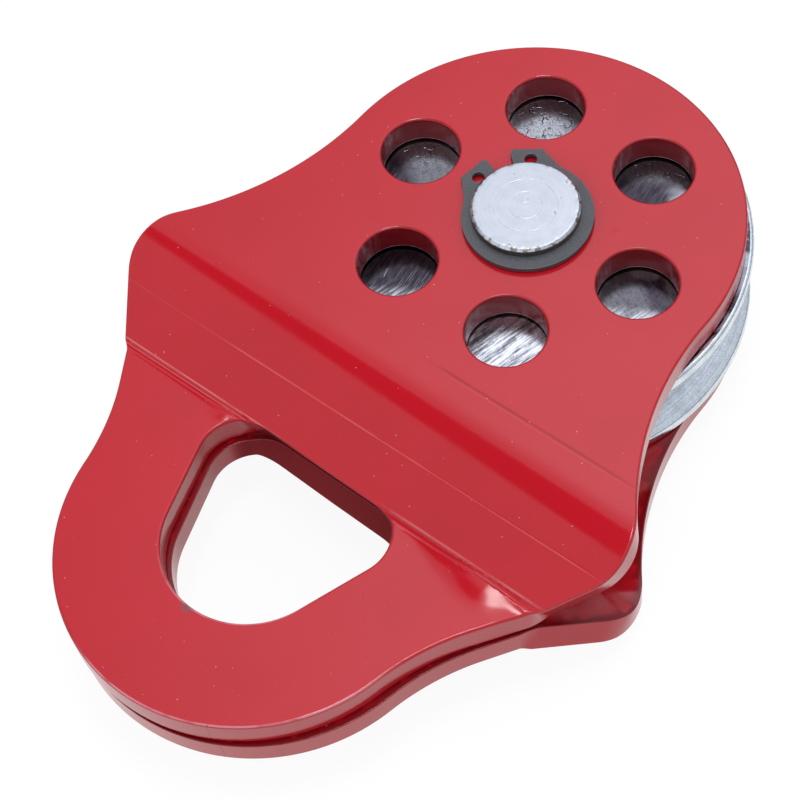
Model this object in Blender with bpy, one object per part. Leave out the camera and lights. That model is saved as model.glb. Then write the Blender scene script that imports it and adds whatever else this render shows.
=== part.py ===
"""Snatch block with two joggled side plates, a grooved sheave and a plain axle pin.

The block lies on its side: +Z runs along the axle, and the shackle eye points to -Y.
The origin is on the axle's axis, at the lower end face of the pin.
Both side plates are one pressing: the lower one is the upper one turned over.
"""
import math

import bmesh
import bpy

MM = 0.001

# Running gaps between pieces
RADIAL_CLEARANCE = 0.30 * MM
SEAT_GAP = 0.30 * MM

# Side plate: the flat blank, measured from the axle's axis towards the eye
PLATE_THICKNESS = 7.0 * MM
HEAD_RADIUS = 49.2 * MM
NECK_RADIUS = 73.8 * MM
SHOULDER_WIDTH = 137.0 * MM
SHOULDER_RADIUS = 14.0 * MM
FLANK_BITE = 6.9 * MM
FLANK_FILLET = 60.0 * MM
EYE_CENTRE = 97.5 * MM
EYE_OUTER_RADIUS = 43.5 * MM
EYE_INNER_RADIUS = 20.0 * MM
EYE_SIDE_ANGLE = math.radians(19.0)
EYE_TOP = 74.4 * MM
EYE_CORNER_RADIUS = 10.2 * MM
LIGHTENING_HOLES = 6
LIGHTENING_DIAMETER = 18.1 * MM
LIGHTENING_PITCH_RADIUS = 31.0 * MM
PLATE_EDGE_ROUND = 0.5 * MM

# Joggle that brings the two eyes together
JOGGLE_START = 47.0 * MM
JOGGLE_ANGLE = math.radians(27.0)
JOGGLE_SKEW = math.radians(1.8)
JOGGLE_DEPTH = 11.0 * MM
JOGGLE_HEAD_INNER_RADIUS = 15.6 * MM
JOGGLE_EYE_INNER_RADIUS = 3.0 * MM
EYE_GAP = 0.8 * MM
LOWER_PLATE_SWING = math.radians(0.8)

# Axle pin and its two retaining rings
PIN_DIAMETER = 24.9 * MM
PIN_PROUD = 3.8 * MM
PIN_CHAMFER = 0.5 * MM
RING_THICKNESS = 1.2 * MM
RING_STANDOFF = 0.4 * MM
RING_AXIAL_CLEARANCE = 0.15 * MM
RING_GROOVE_DEPTH = 0.65 * MM
RING_OUTER_RADIUS = 14.95 * MM
RING_ECCENTRICITY = 0.9 * MM
RING_HALF_GAP = math.radians(9.5)
RING_LUG_END = math.radians(37.0)
RING_LUG_FOOT = math.radians(54.0)
RING_LUG_RADIUS = 17.8 * MM
RING_LUG_CORNER = 0.8 * MM
RING_HOLE_DIAMETER = 2.9 * MM
RING_HOLE_RADIUS = 14.6 * MM
RING_HOLE_ANGLE = math.radians(26.0)
UPPER_RING_GAP_ANGLE = math.radians(150.0)
LOWER_RING_GAP_ANGLE = math.radians(40.0)

# Sheave and its bush
BUSH_WALL = 3.25 * MM
BUSH_TOP_PLAY = 0.4 * MM
BUSH_PROUD = 0.35 * MM
BUSH_CHAMFER = 0.4 * MM
SHEAVE_RADIUS = 51.0 * MM
SHEAVE_LIP = 3.2 * MM
SHEAVE_LIP_ROUND = 0.5 * MM
SHEAVE_BORE_CHAMFER = 0.5 * MM
GROOVE_RADIUS = 5.5 * MM
GROOVE_FLANK_ANGLE = math.radians(17.5)

# Smoothness of round shapes
BORE_SEGMENTS = 56
HOLE_SEGMENTS = 28
SHEAVE_SEGMENTS = 80
RING_HOLE_SEGMENTS = 16
ARC_STEP = 5.0 * MM
EYE_ARC_STEP = 3.5 * MM
CORNER_ARC_STEP = 2.5 * MM
RING_ARC_STEP = 1.7 * MM
THROAT_STEPS = 5
HEAD_BEND_FACETS = 5
EYE_BEND_FACETS = 4

# Points nearer than these count as one
POINT_SNAP = 0.01 * MM
FOLD_SNAP = 0.02 * MM

# Stack of heights, from the pin's lower end face upwards
PIN_RADIUS = PIN_DIAMETER / 2
SHEAVE_SPACE = 2 * JOGGLE_DEPTH + EYE_GAP
LOWER_PLATE_MIDDLE = PIN_PROUD + PLATE_THICKNESS / 2
SHEAVE_SPACE_FLOOR = PIN_PROUD + PLATE_THICKNESS
UPPER_PLATE_MIDDLE = SHEAVE_SPACE_FLOOR + SHEAVE_SPACE + PLATE_THICKNESS / 2
PIN_LENGTH = 2 * (PIN_PROUD + PLATE_THICKNESS) + SHEAVE_SPACE
BUSH_BOTTOM = SHEAVE_SPACE_FLOOR + SEAT_GAP
BUSH_LENGTH = SHEAVE_SPACE - SEAT_GAP - BUSH_TOP_PLAY
SHEAVE_BOTTOM = BUSH_BOTTOM + BUSH_PROUD
SHEAVE_WIDTH = BUSH_LENGTH - 2 * BUSH_PROUD


def clear_scene():
    """Start from an empty file."""
    for thing in list(bpy.data.objects):
        bpy.data.objects.remove(thing, do_unlink=True)


def material(name, colour, roughness, metallic):
    """A Principled material with a plain colour."""
    made = bpy.data.materials.new(name)
    made.use_nodes = True
    shader = made.node_tree.nodes["Principled BSDF"]
    shader.inputs["Base Color"].default_value = (*colour, 1.0)
    shader.inputs["Roughness"].default_value = roughness
    shader.inputs["Metallic"].default_value = metallic
    made.diffuse_color = (*colour, 1.0)
    return made


def add_object(name, mesh, finish, parent=None):
    """Link a mesh as an object with one material."""
    piece = bpy.data.objects.new(name, mesh)
    if not mesh.materials:
        mesh.materials.append(finish)
    bpy.context.scene.collection.objects.link(piece)
    piece.parent = parent
    return piece


def add_axis(name, height):
    """An empty on the axle's axis that carries the pieces turning together."""
    axis = bpy.data.objects.new(name, None)
    axis.empty_display_size = 0.02
    axis.location = (0.0, 0.0, height)
    bpy.context.scene.collection.objects.link(axis)
    return axis


def polar(radius, angle, centre=(0.0, 0.0)):
    """The point at a radius and an angle from a centre."""
    return (centre[0] + radius * math.cos(angle), centre[1] + radius * math.sin(angle))


def arc(centre, radius, start, end, step=ARC_STEP):
    """Points along an arc, both ends included, no further apart than the step."""
    count = max(2, math.ceil(abs(end - start) * radius / step))
    return [polar(radius, start + (end - start) * i / count, centre) for i in range(count + 1)]


def circle(radius, segments, centre=(0.0, 0.0), turn=0.0):
    """Points around a full circle."""
    return [polar(radius, turn + 2 * math.pi * i / segments, centre) for i in range(segments)]


def without_repeats(points):
    """Drop points that coincide with the one before them, round the loop."""
    kept = []
    for point in points:
        if not kept or math.dist(point, kept[-1]) > POINT_SNAP:
            kept.append(point)
    if math.dist(kept[0], kept[-1]) <= POINT_SNAP:
        kept.pop()
    return kept


def mirrored(half):
    """Close a half outline by its mirror image across the first axis."""
    return without_repeats(half + [(-x, s) for x, s in reversed(half)])


def plate_outline():
    """The blank's edge: head, neck, shoulders, flanks and the ring round the eye."""
    neck = (HEAD_RADIUS + NECK_RADIUS, 0.0)
    shoulder_x = SHOULDER_WIDTH / 2 - SHOULDER_RADIUS
    reach = NECK_RADIUS + SHOULDER_RADIUS
    shoulder = (shoulder_x, math.sqrt(reach ** 2 - (neck[0] - shoulder_x) ** 2))
    neck_end = math.atan2(shoulder[1], shoulder[0] - neck[0])
    # The flank touches the shoulder and bites a little into the ring round the eye
    flank_reach = EYE_OUTER_RADIUS - FLANK_BITE
    to_eye = (-shoulder[0], EYE_CENTRE - shoulder[1])
    lean = math.acos((SHOULDER_RADIUS - flank_reach) / math.hypot(*to_eye))
    flank_angle = math.atan2(to_eye[1], to_eye[0]) - lean
    # The fillet touches the flank from outside and the ring from outside
    normal = (math.cos(flank_angle), math.sin(flank_angle))
    across = flank_reach + FLANK_FILLET
    along = math.sqrt((EYE_OUTER_RADIUS + FLANK_FILLET) ** 2 - across ** 2)
    fillet_x = across * normal[0] + along * normal[1]
    fillet = (fillet_x, EYE_CENTRE + across * normal[1] - along * normal[0])
    ring_start = math.atan2(fillet[1] - EYE_CENTRE, fillet[0])
    half = arc((0.0, 0.0), HEAD_RADIUS, -math.pi / 2, 0.0)
    half += arc(neck, NECK_RADIUS, math.pi, neck_end)[1:]
    half += arc(shoulder, SHOULDER_RADIUS, neck_end - math.pi, flank_angle, CORNER_ARC_STEP)[1:]
    half += arc(fillet, FLANK_FILLET, flank_angle + math.pi, ring_start + math.pi)
    half += arc((0.0, EYE_CENTRE), EYE_OUTER_RADIUS, ring_start, math.pi / 2)[1:]
    return mirrored(half)


def eye_opening():
    """The shackle opening: a round end, two leaning sides and a straight top."""
    corner_s = EYE_TOP + EYE_CORNER_RADIUS
    lean = math.sin(EYE_SIDE_ANGLE) * (corner_s - EYE_CENTRE)
    corner_x = (EYE_INNER_RADIUS - EYE_CORNER_RADIUS - lean) / math.cos(EYE_SIDE_ANGLE)
    corner = (corner_x, corner_s)
    half = arc(corner, EYE_CORNER_RADIUS, -math.pi / 2, EYE_SIDE_ANGLE, CORNER_ARC_STEP)
    half += arc((0.0, EYE_CENTRE), EYE_INNER_RADIUS, EYE_SIDE_ANGLE, math.pi / 2, EYE_ARC_STEP)
    return mirrored(half)


def lightening_holes():
    """The ring of round holes round the axle."""
    pitch = 2 * math.pi / LIGHTENING_HOLES
    radius = LIGHTENING_DIAMETER / 2
    return [
        circle(radius, HOLE_SEGMENTS, polar(LIGHTENING_PITCH_RADIUS, pitch * i))
        for i in range(LIGHTENING_HOLES)
    ]


def stamped_sheet(loops, thickness):
    """A flat sheet about the middle plane, cut to an outline with holes."""
    bm = bmesh.new()
    edges = []
    for loop in loops:
        corners = [bm.verts.new((x, y, -thickness / 2)) for x, y in loop]
        edges += [bm.edges.new((a, b)) for a, b in zip(corners, corners[1:] + corners[:1])]
    bmesh.ops.triangle_fill(bm, use_beauty=True, use_dissolve=False, edges=edges)
    bmesh.ops.dissolve_limit(bm, angle_limit=math.radians(0.1), verts=bm.verts, edges=bm.edges)
    grown = bmesh.ops.extrude_face_region(bm, geom=bm.faces[:])
    top = [item for item in grown["geom"] if isinstance(item, bmesh.types.BMVert)]
    bmesh.ops.translate(bm, verts=top, vec=(0.0, 0.0, thickness))
    bmesh.ops.recalc_face_normals(bm, faces=bm.faces[:])
    return bm


def round_rims(bm, width):
    """Break the square edges between a sheet's faces and its cut walls."""
    level = [edge for edge in bm.edges if abs(edge.verts[0].co.z - edge.verts[1].co.z) < POINT_SNAP]
    rims = [edge for edge in level if edge.calc_face_angle() > math.radians(60)]
    bmesh.ops.bevel(bm, geom=rims, offset=width, segments=1, affect="EDGES", clamp_overlap=False)


def fold_lines():
    """Where the sheet folds: distance along the blank, place of the middle plane, tilt."""
    head_radius = JOGGLE_HEAD_INNER_RADIUS + PLATE_THICKNESS / 2
    eye_radius = JOGGLE_EYE_INNER_RADIUS + PLATE_THICKNESS / 2
    bends_drop = (head_radius + eye_radius) * (1 - math.cos(JOGGLE_ANGLE))
    slope = (JOGGLE_DEPTH - bends_drop) / math.sin(JOGGLE_ANGLE)
    lines = []
    for i in range(HEAD_BEND_FACETS + 1):
        tilt = JOGGLE_ANGLE * i / HEAD_BEND_FACETS
        reach = JOGGLE_START + head_radius * math.sin(tilt)
        drop = head_radius * (1 - math.cos(tilt))
        lines.append((JOGGLE_START + head_radius * tilt, reach, -drop, tilt))
    start, reach, drop, tilt = lines[-1]
    start += slope
    reach += slope * math.cos(tilt)
    drop -= slope * math.sin(tilt)
    for i in range(EYE_BEND_FACETS + 1):
        tilt = JOGGLE_ANGLE * (1 - i / EYE_BEND_FACETS)
        forward = eye_radius * (math.sin(JOGGLE_ANGLE) - math.sin(tilt))
        down = eye_radius * (math.cos(tilt) - math.cos(JOGGLE_ANGLE))
        lines.append((start + eye_radius * (JOGGLE_ANGLE - tilt), reach + forward, drop - down, tilt))
    return lines


def folded(along, above, lines):
    """Place on the pressed sheet of a point of the flat blank."""
    places = [(s, y + above * math.sin(t), z + above * math.cos(t)) for s, y, z, t in lines]
    if along <= places[0][0]:
        return (along, above)
    if along >= places[-1][0]:
        return (places[-1][1] + along - places[-1][0], places[-1][2])
    for (s0, y0, z0), (s1, y1, z1) in zip(places, places[1:]):
        if along <= s1:
            share = (along - s0) / (s1 - s0)
            return (y0 + (y1 - y0) * share, z0 + (z1 - z0) * share)


def side_plate_mesh():
    """One side plate: stamped flat, its edges rounded, then joggled in the press."""
    bore = circle(PIN_RADIUS + RADIAL_CLEARANCE, BORE_SEGMENTS)
    bm = stamped_sheet([plate_outline(), eye_opening(), bore, *lightening_holes()], PLATE_THICKNESS)
    round_rims(bm, PLATE_EDGE_ROUND)
    lines = fold_lines()
    # The press folds along lines that are a little out of square with the blank
    skew = (math.sin(JOGGLE_SKEW), math.cos(JOGGLE_SKEW))
    for along, *_ in lines:
        everything = bm.verts[:] + bm.edges[:] + bm.faces[:]
        bmesh.ops.bisect_plane(
            bm,
            geom=everything,
            dist=FOLD_SNAP,
            plane_co=(along * skew[0], along * skew[1], 0.0),
            plane_no=(*skew, 0.0),
        )
    for vert in bm.verts:
        x, s, above = vert.co
        forward, height = folded(x * skew[0] + s * skew[1], above, lines)
        sideways = x * skew[1] - s * skew[0]
        place_x = sideways * skew[1] + forward * skew[0]
        place_s = forward * skew[1] - sideways * skew[0]
        vert.co = (place_x, -place_s, height)
    return finished(bm, "side_plate")


def finished(bm, name, sharp=math.radians(35)):
    """Turn a bmesh into a smooth-shaded mesh with its sharp edges kept."""
    bmesh.ops.recalc_face_normals(bm, faces=bm.faces[:])
    mesh = bpy.data.meshes.new(name)
    bm.to_mesh(mesh)
    bm.free()
    mesh.shade_smooth()
    mesh.set_sharp_from_angle(angle=sharp)
    return mesh


def turned(profile, segments, name):
    """Spin a closed profile of radius and height points about the axle's axis."""
    bm = bmesh.new()
    corners = [bm.verts.new((radius, 0.0, height)) for radius, height in profile]
    edges = [bm.edges.new((a, b)) for a, b in zip(corners, corners[1:] + corners[:1])]
    bmesh.ops.spin(
        bm,
        geom=edges,
        cent=(0.0, 0.0, 0.0),
        axis=(0.0, 0.0, 1.0),
        angle=2 * math.pi,
        steps=segments,
        use_merge=True,
        use_duplicate=False,
    )
    return finished(bm, name)


def ring_groove(plate_face, outward):
    """Heights of a pin groove's two walls, from the plate's outer face."""
    near = plate_face + outward * (RING_STANDOFF - RING_AXIAL_CLEARANCE)
    far = plate_face + outward * (RING_STANDOFF + RING_THICKNESS + RING_AXIAL_CLEARANCE)
    return sorted((near, far))


def pin_mesh():
    """The axle: a plain bar with chamfered ends and a groove near each end."""
    bm = bmesh.new()
    low = ring_groove(PIN_PROUD, -1)
    high = ring_groove(PIN_LENGTH - PIN_PROUD, 1)
    neck = PIN_RADIUS - RING_GROOVE_DEPTH
    side = [(PIN_RADIUS - PIN_CHAMFER, 0.0), (PIN_RADIUS, PIN_CHAMFER)]
    for bottom, top in (low, high):
        side += [(PIN_RADIUS, bottom), (neck, bottom), (neck, top), (PIN_RADIUS, top)]
    side += [(PIN_RADIUS, PIN_LENGTH - PIN_CHAMFER), (PIN_RADIUS - PIN_CHAMFER, PIN_LENGTH)]
    rows = []
    for radius, height in side:
        rows.append([bm.verts.new((x, y, height)) for x, y in circle(radius, BORE_SEGMENTS)])
    for lower, upper in zip(rows, rows[1:]):
        for i in range(BORE_SEGMENTS):
            j = (i + 1) % BORE_SEGMENTS
            bm.faces.new((lower[i], lower[j], upper[j], upper[i]))
    bm.faces.new(list(reversed(rows[0])))
    bm.faces.new(rows[-1])
    return finished(bm, "axle_pin")


def retaining_ring_mesh():
    """An external retaining ring: an eccentric band with two lugs and their plier holes."""
    inner = PIN_RADIUS - RING_GROOVE_DEPTH + RADIAL_CLEARANCE
    centre = (-RING_ECCENTRICITY, 0.0)
    # The lug's slanting end runs into the band's outer edge at the lug's foot
    foot_turn = math.asin(RING_ECCENTRICITY * math.sin(RING_LUG_FOOT) / RING_OUTER_RADIUS)
    sweep = RING_LUG_FOOT - foot_turn
    corner_turn = RING_LUG_CORNER / RING_LUG_RADIUS
    lug = [
        polar(inner, RING_HALF_GAP),
        polar(RING_LUG_RADIUS - RING_LUG_CORNER, RING_HALF_GAP),
        polar(RING_LUG_RADIUS, RING_HALF_GAP + corner_turn),
        polar(RING_LUG_RADIUS, RING_LUG_END - corner_turn),
        polar(RING_LUG_RADIUS - RING_LUG_CORNER, RING_LUG_END),
    ]
    outside = arc(centre, RING_OUTER_RADIUS, sweep, 2 * math.pi - sweep, RING_ARC_STEP)
    inside = arc((0.0, 0.0), inner, 2 * math.pi - RING_HALF_GAP, RING_HALF_GAP, RING_ARC_STEP)
    loop = lug + outside + [(x, -y) for x, y in reversed(lug)] + inside[1:-1]
    radius = RING_HOLE_DIAMETER / 2
    left_hole = circle(radius, RING_HOLE_SEGMENTS, polar(RING_HOLE_RADIUS, RING_HOLE_ANGLE))
    right_hole = circle(radius, RING_HOLE_SEGMENTS, polar(RING_HOLE_RADIUS, -RING_HOLE_ANGLE))
    bm = stamped_sheet([without_repeats(loop), left_hole, right_hole], RING_THICKNESS)
    return finished(bm, "retaining_ring")


def bush_mesh():
    """The bush: a chamfered tube, a little longer than the sheave is wide."""
    inner = PIN_RADIUS + RADIAL_CLEARANCE
    outer = inner + BUSH_WALL
    chamfer = BUSH_CHAMFER
    profile = [
        (inner, chamfer),
        (inner + chamfer, 0.0),
        (outer - chamfer, 0.0),
        (outer, chamfer),
        (outer, BUSH_LENGTH - chamfer),
        (outer - chamfer, BUSH_LENGTH),
        (inner + chamfer, BUSH_LENGTH),
        (inner, BUSH_LENGTH - chamfer),
    ]
    return turned(profile, BORE_SEGMENTS, "sheave_bush")


def sheave_mesh():
    """The sheave: flat sides, rounded lips and a rope groove with a round throat."""
    bore = PIN_RADIUS + RADIAL_CLEARANCE + BUSH_WALL + RADIAL_CLEARANCE
    half = SHEAVE_WIDTH / 2
    lip_edge = half - SHEAVE_LIP
    bevel = SHEAVE_LIP_ROUND
    flank = GROOVE_FLANK_ANGLE
    # The flank leaves the throat where both share one direction
    rise = (lip_edge - GROOVE_RADIUS * math.cos(flank)) / math.tan(flank)
    throat_centre = SHEAVE_RADIUS - rise + GROOVE_RADIUS * math.sin(flank)
    throat = []
    for i in range(THROAT_STEPS + 1):
        turn = math.pi - (math.pi / 2 - flank) * i / THROAT_STEPS
        throat.append(polar(GROOVE_RADIUS, turn, (throat_centre, 0.0)))
    upper = throat + [
        (SHEAVE_RADIUS - bevel, lip_edge - bevel * math.tan(flank)),
        (SHEAVE_RADIUS, lip_edge + bevel / 2),
        (SHEAVE_RADIUS, half - bevel),
        (SHEAVE_RADIUS - bevel, half),
        (bore + SHEAVE_BORE_CHAMFER, half),
        (bore, half - SHEAVE_BORE_CHAMFER),
    ]
    lower = [(radius, -height) for radius, height in reversed(upper[1:])]
    section = [(radius, height + half) for radius, height in lower + upper]
    return turned(section, SHEAVE_SEGMENTS, "sheave")


def build():
    """Make every piece and stand it on its axis."""
    clear_scene()
    red_paint = material("red_paint", (0.60, 0.04, 0.06), 0.25, 0.0)
    zinc = material("zinc_plated_steel", (0.62, 0.66, 0.70), 0.35, 1.0)
    spring_steel = material("phosphated_spring_steel", (0.09, 0.09, 0.10), 0.55, 0.6)
    bronze = material("sintered_bronze", (0.55, 0.36, 0.18), 0.45, 1.0)

    axle = add_axis("axle_axis", 0.0)
    add_object("axle_pin", pin_mesh(), zinc, axle)
    ring_lift = RING_STANDOFF + RING_THICKNESS / 2
    ring = retaining_ring_mesh()
    upper_ring = add_object("upper_retaining_ring", ring, spring_steel, axle)
    upper_ring.location = (0.0, 0.0, PIN_LENGTH - PIN_PROUD + ring_lift)
    upper_ring.rotation_euler = (0.0, 0.0, UPPER_RING_GAP_ANGLE)
    lower_ring = add_object("lower_retaining_ring", ring, spring_steel, axle)
    lower_ring.location = (0.0, 0.0, PIN_PROUD - ring_lift)
    lower_ring.rotation_euler = (math.pi, 0.0, LOWER_RING_GAP_ANGLE)

    plate = side_plate_mesh()
    upper_plate = add_object("upper_side_plate", plate, red_paint)
    upper_plate.location = (0.0, 0.0, UPPER_PLATE_MIDDLE)
    lower_plate = add_object("lower_side_plate", plate, red_paint)
    lower_plate.location = (0.0, 0.0, LOWER_PLATE_MIDDLE)
    lower_plate.rotation_euler = (0.0, math.pi, LOWER_PLATE_SWING)

    sheave_axis = add_axis("sheave_axis", BUSH_BOTTOM)
    add_object("sheave_bush", bush_mesh(), bronze, sheave_axis)
    sheave = add_object("sheave", sheave_mesh(), zinc, sheave_axis)
    sheave.location = (0.0, 0.0, BUSH_PROUD)


build()
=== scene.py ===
"""Looks of the snatch block: two joggled red side plates, a grooved sheave, a pin and two retaining rings."""
import logging
import math
from collections.abc import Callable, Sequence
from dataclasses import dataclass, field
from enum import Enum

import bpy
import numpy as np
from mathutils import Matrix, Vector
from mathutils.geometry import delaunay_2d_cdt


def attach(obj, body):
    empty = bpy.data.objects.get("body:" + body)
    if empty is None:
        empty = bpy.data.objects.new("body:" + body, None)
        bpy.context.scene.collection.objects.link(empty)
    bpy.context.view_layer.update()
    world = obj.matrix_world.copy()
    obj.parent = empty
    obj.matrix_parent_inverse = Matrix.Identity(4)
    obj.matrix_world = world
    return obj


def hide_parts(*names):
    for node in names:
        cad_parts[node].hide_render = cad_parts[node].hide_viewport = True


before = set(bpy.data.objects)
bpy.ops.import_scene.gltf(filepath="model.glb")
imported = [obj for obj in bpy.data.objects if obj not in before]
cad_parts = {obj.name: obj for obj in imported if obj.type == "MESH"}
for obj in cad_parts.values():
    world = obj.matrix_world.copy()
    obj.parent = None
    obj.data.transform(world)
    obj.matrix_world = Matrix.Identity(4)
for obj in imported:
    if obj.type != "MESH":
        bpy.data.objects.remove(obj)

LOG = logging.getLogger("snatch_block")
MM = 0.001
PRESS_SKEW = math.radians(1.8)
Colour = tuple[float, float, float]
Span = tuple[float, float]
Spot = tuple[float, float, float]
Step = tuple[float, ...]
Inputs = dict[str | int, object]
Place = Callable[[np.ndarray], np.ndarray]


class Slot(Enum):
    """Names of the record's material slots; the pieces here take new materials instead."""

    PAINT = "red_paint"
    ZINC = "zinc_plated_steel"
    SPRING = "phosphated_spring_steel"


class Body(Enum):
    """The bodies that pieces ride on."""

    AXLE = "axle"
    UPPER = "upper_plate"
    LOWER = "lower_plate"
    SHEAVE = "sheave"


@dataclass(frozen=True)
class Signal:
    """An output of a shader node; reckoning with it adds nodes to its tree."""

    tree: "Tree"
    socket: bpy.types.NodeSocket

    def math(self, operation: str, *others: "Signal | float") -> "Signal":
        """Work out a number from this one and others."""
        return self.tree.signal("Math", dict(enumerate((self, *others))), operation=operation)

    def __add__(self, other: "Signal | float") -> "Signal":
        """The sum."""
        return self.math("ADD", other)

    def __sub__(self, other: "Signal | float") -> "Signal":
        """The difference."""
        return self.math("SUBTRACT", other)

    def __mul__(self, other: "Signal | float") -> "Signal":
        """The product."""
        return self.math("MULTIPLY", other)

    def __truediv__(self, other: "Signal | float") -> "Signal":
        """The quotient."""
        return self.math("DIVIDE", other)

    def __abs__(self) -> "Signal":
        """The number without its sign."""
        return self.math("ABSOLUTE")

    def __lt__(self, other: "Signal | float") -> "Signal":
        """1 where this number is the smaller one, else 0."""
        return self.math("LESS_THAN", other)

    def __gt__(self, other: "Signal | float") -> "Signal":
        """1 where this number is the larger one, else 0."""
        return self.math("GREATER_THAN", other)

    def at_least(self, other: "Signal | float") -> "Signal":
        """The larger of two numbers."""
        return self.math("MAXIMUM", other)

    def at_most(self, other: "Signal | float") -> "Signal":
        """The smaller of two numbers."""
        return self.math("MINIMUM", other)

    def rest(self) -> "Signal":
        """What is missing to 1, and never less than 0."""
        return self.tree.signal("Math", {0: 1.0, 1: self}, operation="SUBTRACT", use_clamp=True)

    def step(self, low: float, high: float, before: float = 0.0, after: float = 1.0) -> "Signal":
        """A smooth step from one value to another between two limits.

        Args:
            low: Where the step begins.
            high: Where it ends.
            before: Result before the step.
            after: Result after it.

        Returns:
            The stepped number.
        """
        inputs = {"Value": self, "From Min": low, "From Max": high, "To Min": before, "To Max": after}
        return self.tree.signal("MapRange", inputs, "Result", interpolation_type="SMOOTHSTEP")

    def near(self, full: float, gone: float) -> "Signal":
        """1 up to a first limit, falling smoothly to 0 at a second one."""
        return self.step(full, gone, 1.0, 0.0)

    def band(self, low: float, high: float, soft: float) -> "Signal":
        """1 between two limits and 0 outside, with soft ends."""
        return self.step(low - soft, low + soft) * self.near(high - soft, high + soft)

    def dot(self, aim: Sequence[float]) -> "Signal":
        """How far this vector reaches along another."""
        return self.tree.signal("VectorMath", {0: self, 1: tuple(aim)}, "Value", operation="DOT_PRODUCT")

    def flat(self) -> "Signal":
        """This vector without its third part."""
        return self.tree.signal("VectorMath", {0: self, 1: (1.0, 1.0, 0.0)}, operation="MULTIPLY")

    def length(self) -> "Signal":
        """The length of this vector."""
        return self.tree.signal("VectorMath", {0: self}, "Value", operation="LENGTH")


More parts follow.
